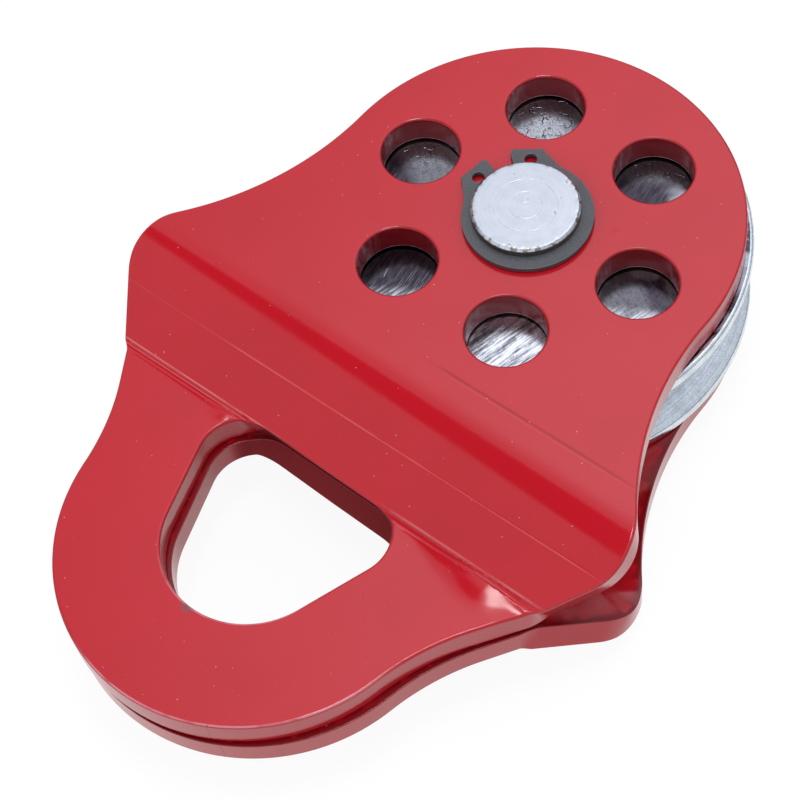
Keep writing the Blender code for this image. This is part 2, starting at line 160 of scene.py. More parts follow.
class Tree:
    """The node tree of a material or a world, built up call by call."""

    def __init__(self, owner: bpy.types.Material | bpy.types.World, output: str = "OutputMaterial") -> None:
        """Empty the owner's tree and start it with its output.

        Args:
            owner: The material or world.
            output: Blender's type of output node, without the word ShaderNode.
        """
        owner.use_nodes = True
        self.owner = owner
        self.nodes = owner.node_tree.nodes
        self.links = owner.node_tree.links
        self.nodes.clear()
        self.output = self.node(output)

    def connect(self, value: object, socket: bpy.types.NodeSocket) -> None:
        """Link a signal to a socket, or set the socket's value."""
        if isinstance(value, Signal):
            self.links.new(value.socket, socket)
        else:
            socket.default_value = value

    def node(self, kind: str, inputs: Inputs | None = None, **settings: object) -> bpy.types.Node:
        """Add a node.

        Args:
            kind: Blender's node type, without the word ShaderNode.
            inputs: Signals to link or values to set, by name or number.
            settings: Properties of the node.

        Returns:
            The new node.
        """
        made = self.nodes.new("ShaderNode" + kind)
        for name, value in settings.items():
            setattr(made, name, value)
        for name, value in (inputs or {}).items():
            self.connect(value, made.inputs[name])
        return made

    def signal(
        self, kind: str, inputs: Inputs | None = None, output: str | int = 0, **settings: object
    ) -> Signal:
        """Add a node and take one of its outputs, by name or number."""
        return Signal(self, self.node(kind, inputs, **settings).outputs[output])

    def attribute(self, name: str, output: str = "Fac") -> Signal:
        """A value that the mesh carries."""
        return self.signal("Attribute", output=output, attribute_name=name)

    def where(self) -> Signal:
        """The piece's own coordinates."""
        return self.signal("TexCoord", output="Object")

    def parts(self, whole: Signal, kind: str = "SeparateXYZ") -> list[Signal]:
        """The three parts of a vector or colour."""
        return [Signal(self, socket) for socket in self.node(kind, {0: whole}).outputs]

    def noise(
        self, where: Signal, scale: float, detail: float = 2.0, rough: float = 0.5, output: str | int = 0
    ) -> Signal:
        """Cloudy noise between 0 and 1.

        Args:
            where: Coordinates.
            scale: Clouds per metre.
            detail: Finer layers.
            rough: Strength of the finer layers.
            output: Which output of the noise to take.

        Returns:
            The noise's value.
        """
        inputs = {"Vector": where, "Scale": scale, "Detail": detail, "Roughness": rough}
        return self.signal("TexNoise", inputs, output)

    def stretched(self, where: Signal, stretch: Sequence[float], turn: float = 0.0) -> Signal:
        """Coordinates that draw a pattern longer along axes turned about the third one."""
        inputs = {"Vector": where, "Scale": tuple(stretch), "Rotation": (0.0, 0.0, turn)}
        return self.signal("Mapping", inputs, vector_type="TEXTURE")

    def mix(self, share: Signal, first: Signal | Colour, second: Signal | Colour) -> Signal:
        """Mix two colours.

        Args:
            share: How much of the second shows.
            first: One colour.
            second: The other.

        Returns:
            The mixed colour.
        """
        made = self.node("Mix", data_type="RGBA")
        self.connect(share, made.inputs[0])
        for index, colour in ((6, first), (7, second)):
            self.connect(colour if isinstance(colour, Signal) else (*colour, 1.0), made.inputs[index])
        return Signal(self, made.outputs[2])

    def bump(self, height: Signal, distance: float, normal: Signal | None = None) -> Signal:
        """Raise the surface by a height.

        Args:
            height: Number between 0 and 1.
            distance: What a height of 1 is in metres.
            normal: A bump to add this one to.

        Returns:
            The new normal.
        """
        below = {} if normal is None else {"Normal": normal}
        return self.signal("Bump", {"Height": height, "Distance": distance, "Strength": 1.0, **below})

    def specks(self, where: Signal, cell: float, radius: float, share: float) -> Signal:
        """Small dots scattered one to a cell.

        Args:
            where: Coordinates.
            cell: Size of a cell in metres.
            radius: Radius of the largest dot in metres.
            share: Share of the cells that have a dot.

        Returns:
            1 inside a dot and 0 outside.
        """
        cells = self.node("TexVoronoi", {"Vector": where, "Scale": 1.0 / cell}, voronoi_dimensions="2D")
        chance, size, _ = self.parts(Signal(self, cells.outputs["Color"]), "SeparateColor")
        inside = Signal(self, cells.outputs["Distance"]) < size * (radius / cell)
        return inside * (chance < share)

    def spot(self, where: Signal, centre: Sequence[float], reach: float) -> Signal:
        """1 at a place of the flat sheet, falling smoothly to 0 at a distance from it."""
        inputs = {0: where.flat(), 1: (*centre, 0.0)}
        return self.signal("VectorMath", inputs, "Value", operation="DISTANCE").near(0.0, reach)

    def finish(self, surface: Signal) -> bpy.types.Material | bpy.types.World:
        """Link the last node to the output and hand back the tree's owner."""
        self.connect(surface, self.output.inputs["Surface"])
        return self.owner

    def principled(
        self, tone: Signal, rough: Signal, normal: Signal, metallic: float = 1.0, ior: float = 1.5
    ) -> bpy.types.Material:
        """Finish the tree with a Principled shader; a metal one, if nothing else is said."""
        inputs = {"Base Color": tone, "Roughness": rough, "Normal": normal, "Metallic": metallic, "IOR": ior}
        return self.finish(self.signal("BsdfPrincipled", inputs))


@dataclass(frozen=True)
class DieLineShading:
    """Painted light along a press line: a pale one is a painted highlight, a dark one painted shade; places and
    widths are in millimetres.
    """

    along: float
    half_width: float
    x_from: float
    x_to: float
    shade: Colour
    strength: float


class PaintTree(Tree):
    """The paint's tree with the flat sheet's values and the noises that its marks share.

    A noise is given by its scale, detail and roughness.
    """

    CLOUDS = (45.0, 3.0, 0.5)
    STREAKS = (700.0, 3.0, 0.6)
    STREAK_SHAPE = (1.0, 1.0, 4.0)
    PATCHES = (170.0, 2.0, 0.6)
    SPECKLE = (2600.0, 2.0, 0.6)

    def __init__(self, name: str) -> None:
        """Read the sheet's values.

        Args:
            name: Name of the material.
        """
        super().__init__(bpy.data.materials.new(name))
        self.blank = self.attribute("blank", "Vector")
        # The wall value carries the cut walls' share of painted shade; side places the painted glints.
        self.cut, self.side, self.wall = (self.attribute(each) for each in ("cut", "side", "wall"))
        self.x, self.y, self.above = self.parts(self.blank)
        self.face = self.cut.rest()
        self.clouds = self.noise(self.blank, *self.CLOUDS)
        self.streaks = self.noise(self.stretched(self.blank, self.STREAK_SHAPE), *self.STREAKS)
        self.patches = self.noise(self.blank, *self.PATCHES)
        self.speckle = self.noise(self.blank, *self.SPECKLE)


@dataclass(frozen=True)
class GlossPaint:
    """Red powder coat, a little wavy, with dust nibs, painted highlights and shade along the press's die lines,
    painted shade on the cut walls, painted glints and painted rim highlights.

    Steps are given by where they begin and end and by the value before and after them,
    specks by their cell, largest radius and share, noises by scale, detail and roughness.
    """

    colour: Colour = (0.55, 0.0100, 0.0190)
    deep: Colour = (0.47, 0.0080, 0.0150)
    wall_shade_colour: Colour = (0.18, 0.0025, 0.0050)
    glint_colour: Colour = (0.46, 0.260, 0.300)
    lower_rim_highlight_colour: Colour = (0.62, 0.50, 0.52)
    rim_highlight_colour: Colour = (0.80, 0.34, 0.38)
    nib_colour: Colour = (0.85, 0.66, 0.66)
    scuff_colour: Colour = (0.11, 0.075, 0.075)
    wall_shade_share: float = 0.90
    glint_share: float = 0.55
    rim_highlight_share: float = 0.62
    notch_share: float = 0.80
    lower_rim_highlight_share: float = 0.85
    nib_share: float = 0.40
    roughness: float = 0.09
    edge_roughness: float = 0.30
    shaded_roughness: float = 0.85
    mark_roughness: float = 0.6
    cloud_tone: Step = (0.35, 0.75, 0.0, 0.35)
    speckle_tone: Step = (0.45, 0.70, 0.0, 0.12)
    speckle_scuff: Step = (0.35, 0.60, 0.4, 1.3)
    facing: Step = (0.42, 0.80)
    turned_away: Step = (-0.90, -0.70, 0.7, 0.0)
    glint_patches: Step = (0.36, 0.55)
    glint_streaks: Step = (0.35, 0.65)
    rim_highlight_patches: Step = (0.30, 0.55, 0.35)
    rim_highlight_cut: Step = (0.18, 0.80, 0.10)
    lower_rim_streaks: Step = (0.25, 0.55, 0.3)
    score_noise: Step = (420.0, 3.0, 0.6)
    score_patches: Step = (0.30, 0.60, 0.35)
    nibs: Step = (5.4 * MM, 0.14 * MM, 0.36)
    fluff: Step = (7.0 * MM, 0.09 * MM, 0.16)
    fluff_turn: float = -0.7
    worn_share_of_cut: float = 0.30
    rough_share_of_glints: float = 0.7
    peel_detail: Span = (3.0, 0.55)
    wave_noise: Span = (110.0, 1.0)
    eye_wall_limit: float = 0.3
    thin_wall_limit: float = 0.5
    haze: float = 0.14
    haze_reach: float = 12 * MM
    peel_size: float = 0.7 * MM
    peel_depth: float = 0.0055 * MM
    wave_depth: float = 0.012 * MM
    torn_depth: float = 0.012 * MM
    dimple_depth: float = 0.05 * MM
    dimple_reach: float = 1.5 * MM
    scuff_reach: float = 2.4 * MM
    score_fade: float = 5.0 * MM
    shaded_x: Span = (-19 * MM, 30 * MM)
    shaded_y: Span = (78.0 * MM, 84.0 * MM)
    rim_highlight_x: Span = (-16 * MM, -4 * MM)
    rim_highlight_y: Span = (98 * MM, 112 * MM)
    notch_x: float = 21.4 * MM
    notch_width: Span = (0.05 * MM, 0.20 * MM)
    notch_y: Span = (114 * MM, 116 * MM)
    lower_rim_band: Span = (-3.44 * MM, -3.20 * MM)
    lower_rim_reach: Span = (42 * MM, 44 * MM)
    haze_places: tuple[Span, ...] = ((52.0 * MM, 78.6 * MM), (-23.9 * MM, 78.0 * MM))
    scuff_place: Span = (-0.1 * MM, 117.7 * MM)
    dimple_place: Span = (19.3 * MM, -8.1 * MM)
    # Pale lines are painted highlights and dark lines painted shade on the die lines' relief.
    die_line_shading: tuple[DieLineShading, ...] = (
        DieLineShading(43.05, 0.45, 8, 60, (0.30, 0.003, 0.007), 0.60),
        DieLineShading(43.75, 0.25, 14, 60, (0.66, 0.055, 0.065), 0.40),
        DieLineShading(62.0, 0.28, -34, 64, (0.72, 0.130, 0.120), 0.62),
        DieLineShading(62.0, 0.20, -66, -34, (0.68, 0.080, 0.085), 0.35),
        DieLineShading(73.5, 0.24, -62, -13, (0.80, 0.260, 0.240), 0.60),
        DieLineShading(74.2, 0.20, -62, -15, (0.16, 0.002, 0.004), 0.55),
        DieLineShading(74.9, 0.22, -62, -13, (0.80, 0.240, 0.230), 0.60),
        DieLineShading(73.5, 0.30, 20, 58, (0.74, 0.210, 0.200), 0.60),
        DieLineShading(74.2, 0.20, 20, 58, (0.12, 0.002, 0.004), 0.80),
        DieLineShading(77.0, 0.20, 22, 56, (0.78, 0.220, 0.215), 0.55),
    )

    def shade_die_lines(self, tree: PaintTree, tone: Signal) -> Signal:
        """Paint the press lines' highlights and shade into the upper face's colour.

        Args:
            tree: The paint's tree.
            tone: The colour so far.

        Returns:
            The colour with the lines.
        """
        along = tree.x * math.sin(PRESS_SKEW) + tree.y * math.cos(PRESS_SKEW)
        patchy = tree.noise(tree.stretched(tree.blank, (5.0, 1.0, 1.0)), *self.score_noise)
        shown = patchy.step(*self.score_patches) * (tree.face * (tree.above > 0.0))
        for line in self.die_line_shading:
            half = line.half_width * MM
            mask = abs(along - line.along * MM).near(0.25 * half, half)
            mask = mask * tree.x.band(line.x_from * MM, line.x_to * MM, self.score_fade) * shown
            tone = tree.mix(mask * line.strength, tone, line.shade)
        return tone

    def shaded(self, tree: PaintTree) -> Signal:
        """Painted shade on the eye's straight wall, which is also dull: 1 on it and 0 elsewhere."""
        part = tree.y.near(*self.shaded_y) * tree.cut * tree.x.band(*self.shaded_x, 3 * MM)
        return part * (abs(tree.wall) < self.thin_wall_limit)

    def painted_glints(self, tree: PaintTree) -> Signal:
        """Painted glints: pale patches on the walls that face the light."""
        lit = tree.side.step(*self.facing).at_least(tree.side.step(*self.turned_away))
        return lit * tree.patches.step(*self.glint_patches) * tree.streaks.step(*self.glint_streaks)

    def walls(self, tree: PaintTree, tone: Signal, shaded: Signal, painted_glints: Signal) -> Signal:
        """Colour the cut walls: painted shade, painted glints, painted highlights on the upper and lower rims,
        and the eye's two notches.

        Args:
            tree: The paint's tree.
            tone: The colour so far.
            shaded: The painted shade on the eye's straight wall.
            painted_glints: The painted glints on the walls.

        Returns:
            The colour with the walls.
        """
        # Painted shade: the cut walls darken, fully inside the round holes and on the lower rims, a little on
        # the outline and the eye.
        tone = tree.mix(tree.wall.at_least(shaded) * self.wall_shade_share, tone, self.wall_shade_colour)
        # Painted glints: pale patches on the walls that face the light.
        tone = tree.mix(painted_glints * self.glint_share, tone, self.glint_colour)
        # Painted highlight: a pale line on the upper rim round the eye ring.
        rim_highlight = tree.cut.band(*self.rim_highlight_cut) * tree.above.step(0.0, 1.0 * MM)
        rim_highlight = rim_highlight * tree.y.step(*self.rim_highlight_y) * tree.x.step(*self.rim_highlight_x)
        rim_highlight = rim_highlight * tree.patches.step(*self.rim_highlight_patches)
        tone = tree.mix(rim_highlight * self.rim_highlight_share, tone, self.rim_highlight_colour)
        notch = abs(abs(tree.x) - self.notch_x).near(*self.notch_width) * tree.cut
        notch = notch * (tree.wall < self.eye_wall_limit) * tree.y.step(*self.notch_y)
        tone = tree.mix(notch * self.notch_share, tone, self.wall_shade_colour)
        # Painted highlight: a pale streaky line on the round holes' lower rims, in place of the bright sheave's
        # reflection.
        wear_and_highlight = tree.above.band(*self.lower_rim_band, 0.06 * MM) * tree.wall * tree.streaks.step(*self.lower_rim_streaks)
        wear_and_highlight = wear_and_highlight * tree.blank.length().near(*self.lower_rim_reach)
        return tree.mix(wear_and_highlight * self.lower_rim_highlight_share, tone, self.lower_rim_highlight_colour)

    def material(self, name: str) -> bpy.types.Material:
        """Make the paint; it follows the flat sheet's own coordinates.

        Args:
            name: Name of the material.

        Returns:
            The material.
        """
        tree = PaintTree(name)
        blank, clouds, speckle = tree.blank, tree.clouds, tree.speckle
        shaded, painted_glints = self.shaded(tree), self.painted_glints(tree)
        tone = tree.mix(clouds.step(*self.cloud_tone), self.colour, self.deep)
        tone = self.shade_die_lines(tree, self.walls(tree, tone, shaded, painted_glints))
        fluff = tree.specks(tree.stretched(blank, (1.0, 4.0, 1.0), self.fluff_turn), *self.fluff)
        nibs = tree.specks(blank, *self.nibs).at_least(fluff) * tree.face
        tone = tree.mix(nibs * self.nib_share, tone, self.nib_colour)
        tone = tree.mix(speckle.step(*self.speckle_tone), tone, self.deep)
        scuff = tree.spot(blank, self.scuff_place, self.scuff_reach) * speckle.step(*self.speckle_scuff)
        scuff = scuff * tree.face * tree.above.step(3.0 * MM, 3.3 * MM)
        tone = tree.mix(scuff.at_most(1.0), tone, self.scuff_colour)
        worn = tree.cut * self.worn_share_of_cut + painted_glints * self.rough_share_of_glints
        worn = worn * (self.edge_roughness - self.roughness)
        rough = worn + clouds.step(0.3, 0.7, self.roughness - 0.02, self.roughness + 0.03)
        rough = rough.at_least(nibs.at_least(scuff) * self.mark_roughness)
        rough = rough.at_least(shaded * self.shaded_roughness)
        for place in self.haze_places:
            rough = rough + tree.spot(blank, place, self.haze_reach) * self.haze
        normal = tree.bump(tree.noise(blank, 1.0 / self.peel_size, *self.peel_detail), self.peel_depth)
        normal = tree.bump(tree.noise(blank, *self.wave_noise), self.wave_depth, normal)
        normal = tree.bump(tree.spot(blank, self.dimple_place, self.dimple_reach), self.dimple_depth, normal)
        normal = tree.bump(tree.streaks * tree.cut, self.torn_depth, normal)
        return tree.principled(tone, rough, normal, metallic=0.0)


@dataclass(frozen=True)
class TurnedZinc:
    """Bright zinc over turned steel, with the tool's rings round the axis."""

    colour: Colour = (0.66, 0.70, 0.76)
    dull: Colour = (0.45, 0.46, 0.49)
    scribe_colour: Colour = (0.90, 0.92, 0.95)
    rust: Colour = (0.20, 0.15, 0.10)
    roughness: float = 0.34
    ring_pitch: float = 0.30 * MM
    ring_depth: float = 0.004 * MM
    grain_depth: float = 0.006 * MM
    blotches: float = 0.35
    streaks: float = 0.30
    grainy: float = 0.15
    scribed: tuple[float, ...] = ()
    scribe_width: float = 0.11 * MM
    scribe_depth: float = -0.03 * MM
    scribe_share: float = 0.7
    worn_rim: float = 0.0
    worn_width: float = 1.2 * MM
    ring_detail: Span = (2.0, 0.7)
    cloud_noise: Step = (320.0, 4.0, 0.65)
    grain_noise: Step = (3000.0, 2.0, 0.6)
    worn_noise: Step = (700.0, 3.0, 0.6)

    def material(self, name: str) -> bpy.types.Material:
        """Make the metal; the rings follow the distance from the axis.

        Args:
            name: Name of the material.

        Returns:
            The material.
        """
        tree = Tree(bpy.data.materials.new(name))
        where = tree.where()
        radius = where.flat().length()
        section = tree.signal("CombineXYZ", {0: radius, 1: tree.parts(where)[2]})
        rings = tree.noise(section, 1.0 / self.ring_pitch, *self.ring_detail)
        clouds = tree.noise(where, *self.cloud_noise)
        grain = tree.noise(where, *self.grain_noise)
        tone = tree.mix(clouds.step(0.40, 0.75, 0.0, self.blotches), self.colour, self.dull)
        tone = tree.mix(rings.step(0.38, 0.66, 0.0, self.streaks), tone, self.dull)
        tone = tree.mix(grain.step(0.42, 0.66, 0.0, self.grainy), tone, self.dull)
        if self.worn_rim:
            rim = radius.step(self.worn_rim, self.worn_rim + self.worn_width, 0.0, 0.16)
            wear_and_highlight = tree.noise(where, *self.worn_noise) + rim
            tone = tree.mix(wear_and_highlight.step(0.66, 0.74, 0.0, 0.85), tone, self.rust)
        normal = tree.bump(grain, self.grain_depth, tree.bump(rings, self.ring_depth))
        for scribe in self.scribed:
            line = abs(radius - scribe).near(0.0, self.scribe_width) * clouds.step(0.40, 0.55, 0.25, 1.0)
            tone = tree.mix(line * self.scribe_share, tone, self.scribe_colour)
            normal = tree.bump(line, self.scribe_depth, normal)
        rough = clouds.step(0.3, 0.75, self.roughness - 0.05, self.roughness + 0.10)
        return tree.principled(tone, rough, normal)


@dataclass(frozen=True)
class MarkedShadedPlace:
    """How the sheave's flat side looks towards one angle, given in degrees like the ridges' turn: its marks and
    its painted shade.
    """

    angle: float
    painted_darkness: float
    ridge_turn: float = 8.0
    ridges: float = 0.0
    strokes: float = 0.0
    cracks: float = 0.0
    scratches: float = 0.0
    haze: float = 0.0


def weighted(masks: Sequence[Signal], weights: Sequence[float], start: float = 0.0) -> Signal:
    """Add masks up, each times its weight, to a first value."""
    total: Signal | float = start
    for mask, weight in zip(masks, weights):
        if weight:
            total = mask * weight + total
    return total


@dataclass(frozen=True)
class GroundZinc:
    """Rough zinc on the sheave's flat sides: grinding ridges, cracks, scratches, and painted shade at some
    angles and in the outer ring under the plates.
    """

    colour: Colour = (0.46, 0.47, 0.50)
    # The dark colour serves the grain and the painted shade.
    dark: Colour = (0.045, 0.036, 0.048)
    bright: Colour = (0.74, 0.76, 0.80)
    crack_colour: Colour = (0.030, 0.030, 0.035)
    roughness: float = 0.17
    ridge_pitch: float = 0.52 * MM
    ridge_wander: float = 0.5 * MM
    crack_wander: float = 2.4 * MM
    crack_depth: float = -0.03 * MM
    grain_depth: float = 0.004 * MM
    mottle_depth: float = 0.006 * MM
    stroke_turn: float = math.radians(-13.0)
    stroke_noise: Step = (1900.0, 3.0, 0.6)
    grain_noise: Step = (2600.0, 3.0, 0.65)
    mottle_noise: Step = (1000.0, 4.0, 0.7)
    mottle_turn: float = 0.9
    haze_noise: Step = (130.0, 2.0)
    radial_noise: Step = (2800.0, 2.0, 0.6)
    radial_squeeze: Span = (0.048, 0.2)
    ridge_noise: Step = (1500.0, 2.0, 0.6)
    crack_cells: float = 300.0
    long_marks: Step = (2.6 * MM, 0.07 * MM, 0.5)
    cross_marks: Step = (3.6 * MM, 0.06 * MM, 0.4)
    grain_tone: Step = (0.42, 0.68, 0.0, 0.50)
    mottle_tone: Step = (0.50, 0.68, 0.0, 0.50)
    haze_tone: Step = (0.45, 0.62)
    stroke_high: Step = (0.46, 0.60)
    stroke_low: Step = (0.46, 0.34)
    radial_tone: Step = (0.50, 0.68, 0.0, 0.22)
    place_reach: Span = (16.0 * MM, 22.0 * MM)
    outer_ring: Span = (43.0 * MM, 46.0 * MM)
    under_plate_shade: float = 0.90
    middle_darkness: float = 0.5
    places: tuple[MarkedShadedPlace, ...] = (
        MarkedShadedPlace(0.0, 0.76, 75.0, ridges=0.07, haze=0.6),
        MarkedShadedPlace(60.0, 1.0, ridges=0.07),
        MarkedShadedPlace(120.0, 0.04, cracks=0.9),
        MarkedShadedPlace(180.0, 0.62, scratches=0.8),
        MarkedShadedPlace(240.0, 1.0, ridges=0.14),
        MarkedShadedPlace(300.0, 0.0, strokes=0.9),
    )

    def towards(self, where: Signal, degrees: float) -> Signal:
        """How far a place lies towards an angle round the axis."""
        turn = math.radians(degrees)
        return where.dot((math.cos(turn), math.sin(turn), 0.0))

    def ridged(self, tree: Tree, where: Signal, degrees: float) -> Signal:
        """Regular grinding ridges: a sine wave across their direction, broken up by noise.

        Args:
            tree: The tree to add to.
            where: The wheel's coordinates.
            degrees: Angle of the direction across the ridges.

        Returns:
            1 on the ridges.
        """
        across = self.towards(where, degrees) + tree.noise(where, 260.0, 2.0) * self.ridge_wander
        wave = (across * (2 * math.pi / self.ridge_pitch)).math("SINE")
        broken = tree.noise(tree.stretched(where, (1.0, 5.0, 1.0), math.radians(degrees)), *self.ridge_noise)
        return wave.step(-0.4, 0.9) * broken.step(0.38, 0.62)

    def cracked(self, tree: Tree, where: Signal) -> Signal:
        """Short wandering cracks between cells, in some places only."""
        cloud = tree.noise(where, 420.0, output="Color")
        wander = tree.signal("VectorMath", {0: cloud, "Scale": self.crack_wander}, operation="SCALE")
        warped = tree.signal("VectorMath", {0: where, 1: wander}, operation="ADD")
        cells = {"Vector": warped, "Scale": self.crack_cells}
        edge = tree.signal("TexVoronoi", cells, "Distance", feature="DISTANCE_TO_EDGE")
        return edge.near(0.008, 0.036) * tree.noise(where, self.crack_cells, 1.0).step(0.48, 0.56)

    def scratched(self, tree: Tree, where: Signal) -> Signal:
        """Long thin scratches in two directions."""
        long_marks = tree.specks(tree.stretched(where, (1.0, 40.0, 1.0), 0.9), *self.long_marks)
        cross_marks = tree.specks(tree.stretched(where, (1.0, 30.0, 1.0), 0.35), *self.cross_marks)
        return long_marks.at_least(cross_marks)

    def radial(self, tree: Tree, where: Signal, radius: Signal) -> Signal:
        """Fine marks that run outwards: noise over the angle and a shortened radius."""
        x, y, _ = tree.parts(where)
        round_axis, outwards = self.radial_squeeze
        polar = tree.signal("CombineXYZ", {0: y.math("ARCTAN2", x) * round_axis, 1: radius * outwards})
        return tree.noise(polar, *self.radial_noise).step(*self.radial_tone)

    def material(self, name: str) -> bpy.types.Material:
        """Make the metal; it follows the sheave's own coordinates.

        Args:
            name: Name of the material.

        Returns:
            The material.
        """
        tree = Tree(bpy.data.materials.new(name))
        where = tree.where()
        radius = where.flat().length()
        outer = radius.step(*self.outer_ring)
        here = [self.towards(where, place.angle).step(*self.place_reach) for place in self.places]
        darker = [place.painted_darkness - self.middle_darkness for place in self.places]
        # Painted shade: darker towards some angles round the wheel, and darker still in the outer ring under
        # the plates' edges.
        shade = weighted(here, darker, self.middle_darkness).at_least(outer * self.under_plate_shade)
        ridged = [(mask, place) for mask, place in zip(here, self.places) if place.ridges]
        waves = [self.ridged(tree, where, place.ridge_turn) * mask for mask, place in ridged]
        ridges = weighted(waves, [place.ridges for _, place in ridged])
        stroke = weighted(here, [place.strokes for place in self.places])
        cracks = self.cracked(tree, where) * weighted(here, [place.cracks for place in self.places])
        scratches = self.scratched(tree, where) * weighted(here, [place.scratches for place in self.places])
        haze = weighted(here, [place.haze for place in self.places])
        strokes = tree.noise(tree.stretched(where, (1.0, 12.0, 1.0), self.stroke_turn), *self.stroke_noise)
        grain = tree.noise(where, *self.grain_noise)
        mottle = tree.noise(tree.stretched(where, (1.0, 2.5, 1.0), self.mottle_turn), *self.mottle_noise)
        tone = tree.mix(shade, self.colour, self.dark)
        tone = tree.mix(grain.step(*self.grain_tone), tone, self.dark)
        tone = tree.mix(mottle.step(*self.mottle_tone), tone, self.dark)
        tone = tree.mix(tree.noise(where, *self.haze_noise).step(*self.haze_tone) * haze, tone, self.colour)
        tone = tree.mix(ridges, tone, self.bright)
        tone = tree.mix(strokes.step(*self.stroke_high) * stroke, tone, self.bright)
        tone = tree.mix(strokes.step(*self.stroke_low) * stroke * 0.8, tone, self.dark)
        tone = tree.mix(self.radial(tree, where, radius) * outer, tone, self.bright)
        tone = tree.mix(cracks, tone, self.crack_colour)
        tone = tree.mix(scratches, tone, self.bright)
        rough = mottle.step(0.35, 0.70, self.roughness, self.roughness + 0.10)
        normal = tree.bump(mottle, self.mottle_depth, tree.bump(grain, self.grain_depth))
        normal = tree.bump(cracks, self.crack_depth, normal)
        return tree.principled(tone, rough, normal)


@dataclass(frozen=True)
class PhosphateSteel:
    """Dark phosphated spring steel with a fine grain and lighter worn edges."""

    colour: Colour = (0.046, 0.048, 0.054)
    worn: Colour = (0.17, 0.17, 0.178)
    roughness: float = 0.42
    grain_noise: Step = (3500.0, 3.0, 0.7)
    grain_depth: float = 0.012 * MM
    cloud_noise: Span = (300.0, 3.0)
    edge_wear: float = 2.5

    def material(self, name: str) -> bpy.types.Material:
        """Make the steel.

        Args:
            name: Name of the material.

        Returns:
            The material.
        """
        tree = Tree(bpy.data.materials.new(name))
        blank, cut = tree.attribute("blank", "Vector"), tree.attribute("cut")
        grain = tree.noise(blank, *self.grain_noise)
        tone = tree.mix(grain.step(0.42, 0.66, 0.0, 0.45), self.colour, self.worn)
        tone = tree.mix(cut * cut.rest() * self.edge_wear, tone, self.worn)
        clouds = tree.noise(blank, *self.cloud_noise)
        rough = clouds.step(0.3, 0.7, self.roughness - 0.05, self.roughness + 0.10)
        return tree.principled(tone, rough, tree.bump(grain, self.grain_depth), metallic=0.0, ior=1.6)


@dataclass(frozen=True)
class SinteredBronze:
    """Oily sintered bronze with fine pores."""

    colour: Colour = (0.50, 0.30, 0.13)
    pore: Colour = (0.10, 0.06, 0.03)
    roughness: float = 0.42
    pore_noise: Step = (2400.0, 3.0, 0.7)
    pore_depth: float = 0.02 * MM
    cloud_noise: Span = (200.0, 3.0)

    def material(self, name: str) -> bpy.types.Material:
        """Make the bronze.

        Args:
            name: Name of the material.

        Returns:
            The material.
        """
        tree = Tree(bpy.data.materials.new(name))
        where = tree.where()
        pores = tree.noise(where, *self.pore_noise)
        tone = tree.mix(pores.step(0.55, 0.70), self.colour, self.pore)
        clouds = tree.noise(where, *self.cloud_noise)
        rough = clouds.step(0.3, 0.7, self.roughness - 0.08, self.roughness + 0.08)
        normal = tree.bump(pores, self.pore_depth)
        return tree.principled(tone, rough, normal)


def arc(centre: Sequence[float], radius: float, start: float, end: float, step: float) -> np.ndarray:
    """Points along an arc, both ends included.

    Each point is the centre plus the radius turned by an angle that grows evenly from start to end.

    Args:
        centre: Centre of the arc.
        radius: Its radius.
        start: First angle.
        end: Last angle.
        step: Largest distance between points.

    Returns:
        One row of two coordinates a point.
    """
    count = max(2, math.ceil(abs(end - start) * radius / step)) + 1
    angles = np.linspace(start, end, count)
    return np.stack([centre[0] + radius * np.cos(angles), centre[1] + radius * np.sin(angles)], axis=1)


def clean_loop(parts: Sequence[np.ndarray], snap: float = 0.02 * MM) -> np.ndarray:
    """Join runs of points into one closed loop without repeats.

    Args:
        parts: Runs of points in order.
        snap: Points nearer than this count as one.

    Returns:
        The loop's points.
    """
    points = np.concatenate(parts)
    gaps = np.linalg.norm(points - np.roll(points, 1, axis=0), axis=1)
    return points[gaps > snap]


def mirrored(half: np.ndarray) -> np.ndarray:
    """Close a half outline by its mirror image across the first axis."""
    return clean_loop([half, (half * [-1.0, 1.0])[::-1]])


def filled_line(first: np.ndarray, last: np.ndarray, step: float) -> np.ndarray:
    """Evenly spaced points on a straight line, ends left out."""
    count = max(1, math.ceil(float(np.linalg.norm(last - first)) / step))
    share = np.linspace(0.0, 1.0, count + 1)[1:-1, None]
    return first + (last - first) * share


def inside(points: np.ndarray, loops: Sequence[np.ndarray]) -> np.ndarray:
    """Which points lie in the sheet: a ray from each crosses the loops an odd number of times.

    Args:
        points: Points to test.
        loops: The outline and the holes.

    Returns:
        One truth value a point.
    """
    odd = np.zeros(len(points), dtype=bool)
    for loop in loops:
        a, b = loop, np.roll(loop, -1, axis=0)
        above = (a[None, :, 1] > points[:, 1, None]) != (b[None, :, 1] > points[:, 1, None])
        rise = np.where(b[:, 1] == a[:, 1], 1.0, b[:, 1] - a[:, 1])
        cross = a[None, :, 0] + (points[:, 1, None] - a[None, :, 1]) * ((b[:, 0] - a[:, 0]) / rise)[None]
        odd ^= ((above & (points[:, 0, None] < cross)).sum(axis=1) % 2).astype(bool)
    return odd


def round_hole(reach: float, angle: float, radius: float, step: float) -> np.ndarray:
    """A round hole's edge, run clockwise; its centre lies at a reach and angle from the axle."""
    centre = (reach * math.cos(angle), reach * math.sin(angle))
    return clean_loop([arc(centre, radius, 2 * math.pi, 0.0, step)])


def turned_about_axle(points: np.ndarray, angle: float, height: float) -> np.ndarray:
    """Points turned about the axle and lifted."""
    cos, sin = math.cos(angle), math.sin(angle)
    x, y, z = points.T
    return np.stack([x * cos - y * sin, x * sin + y * cos, z + height], axis=1)


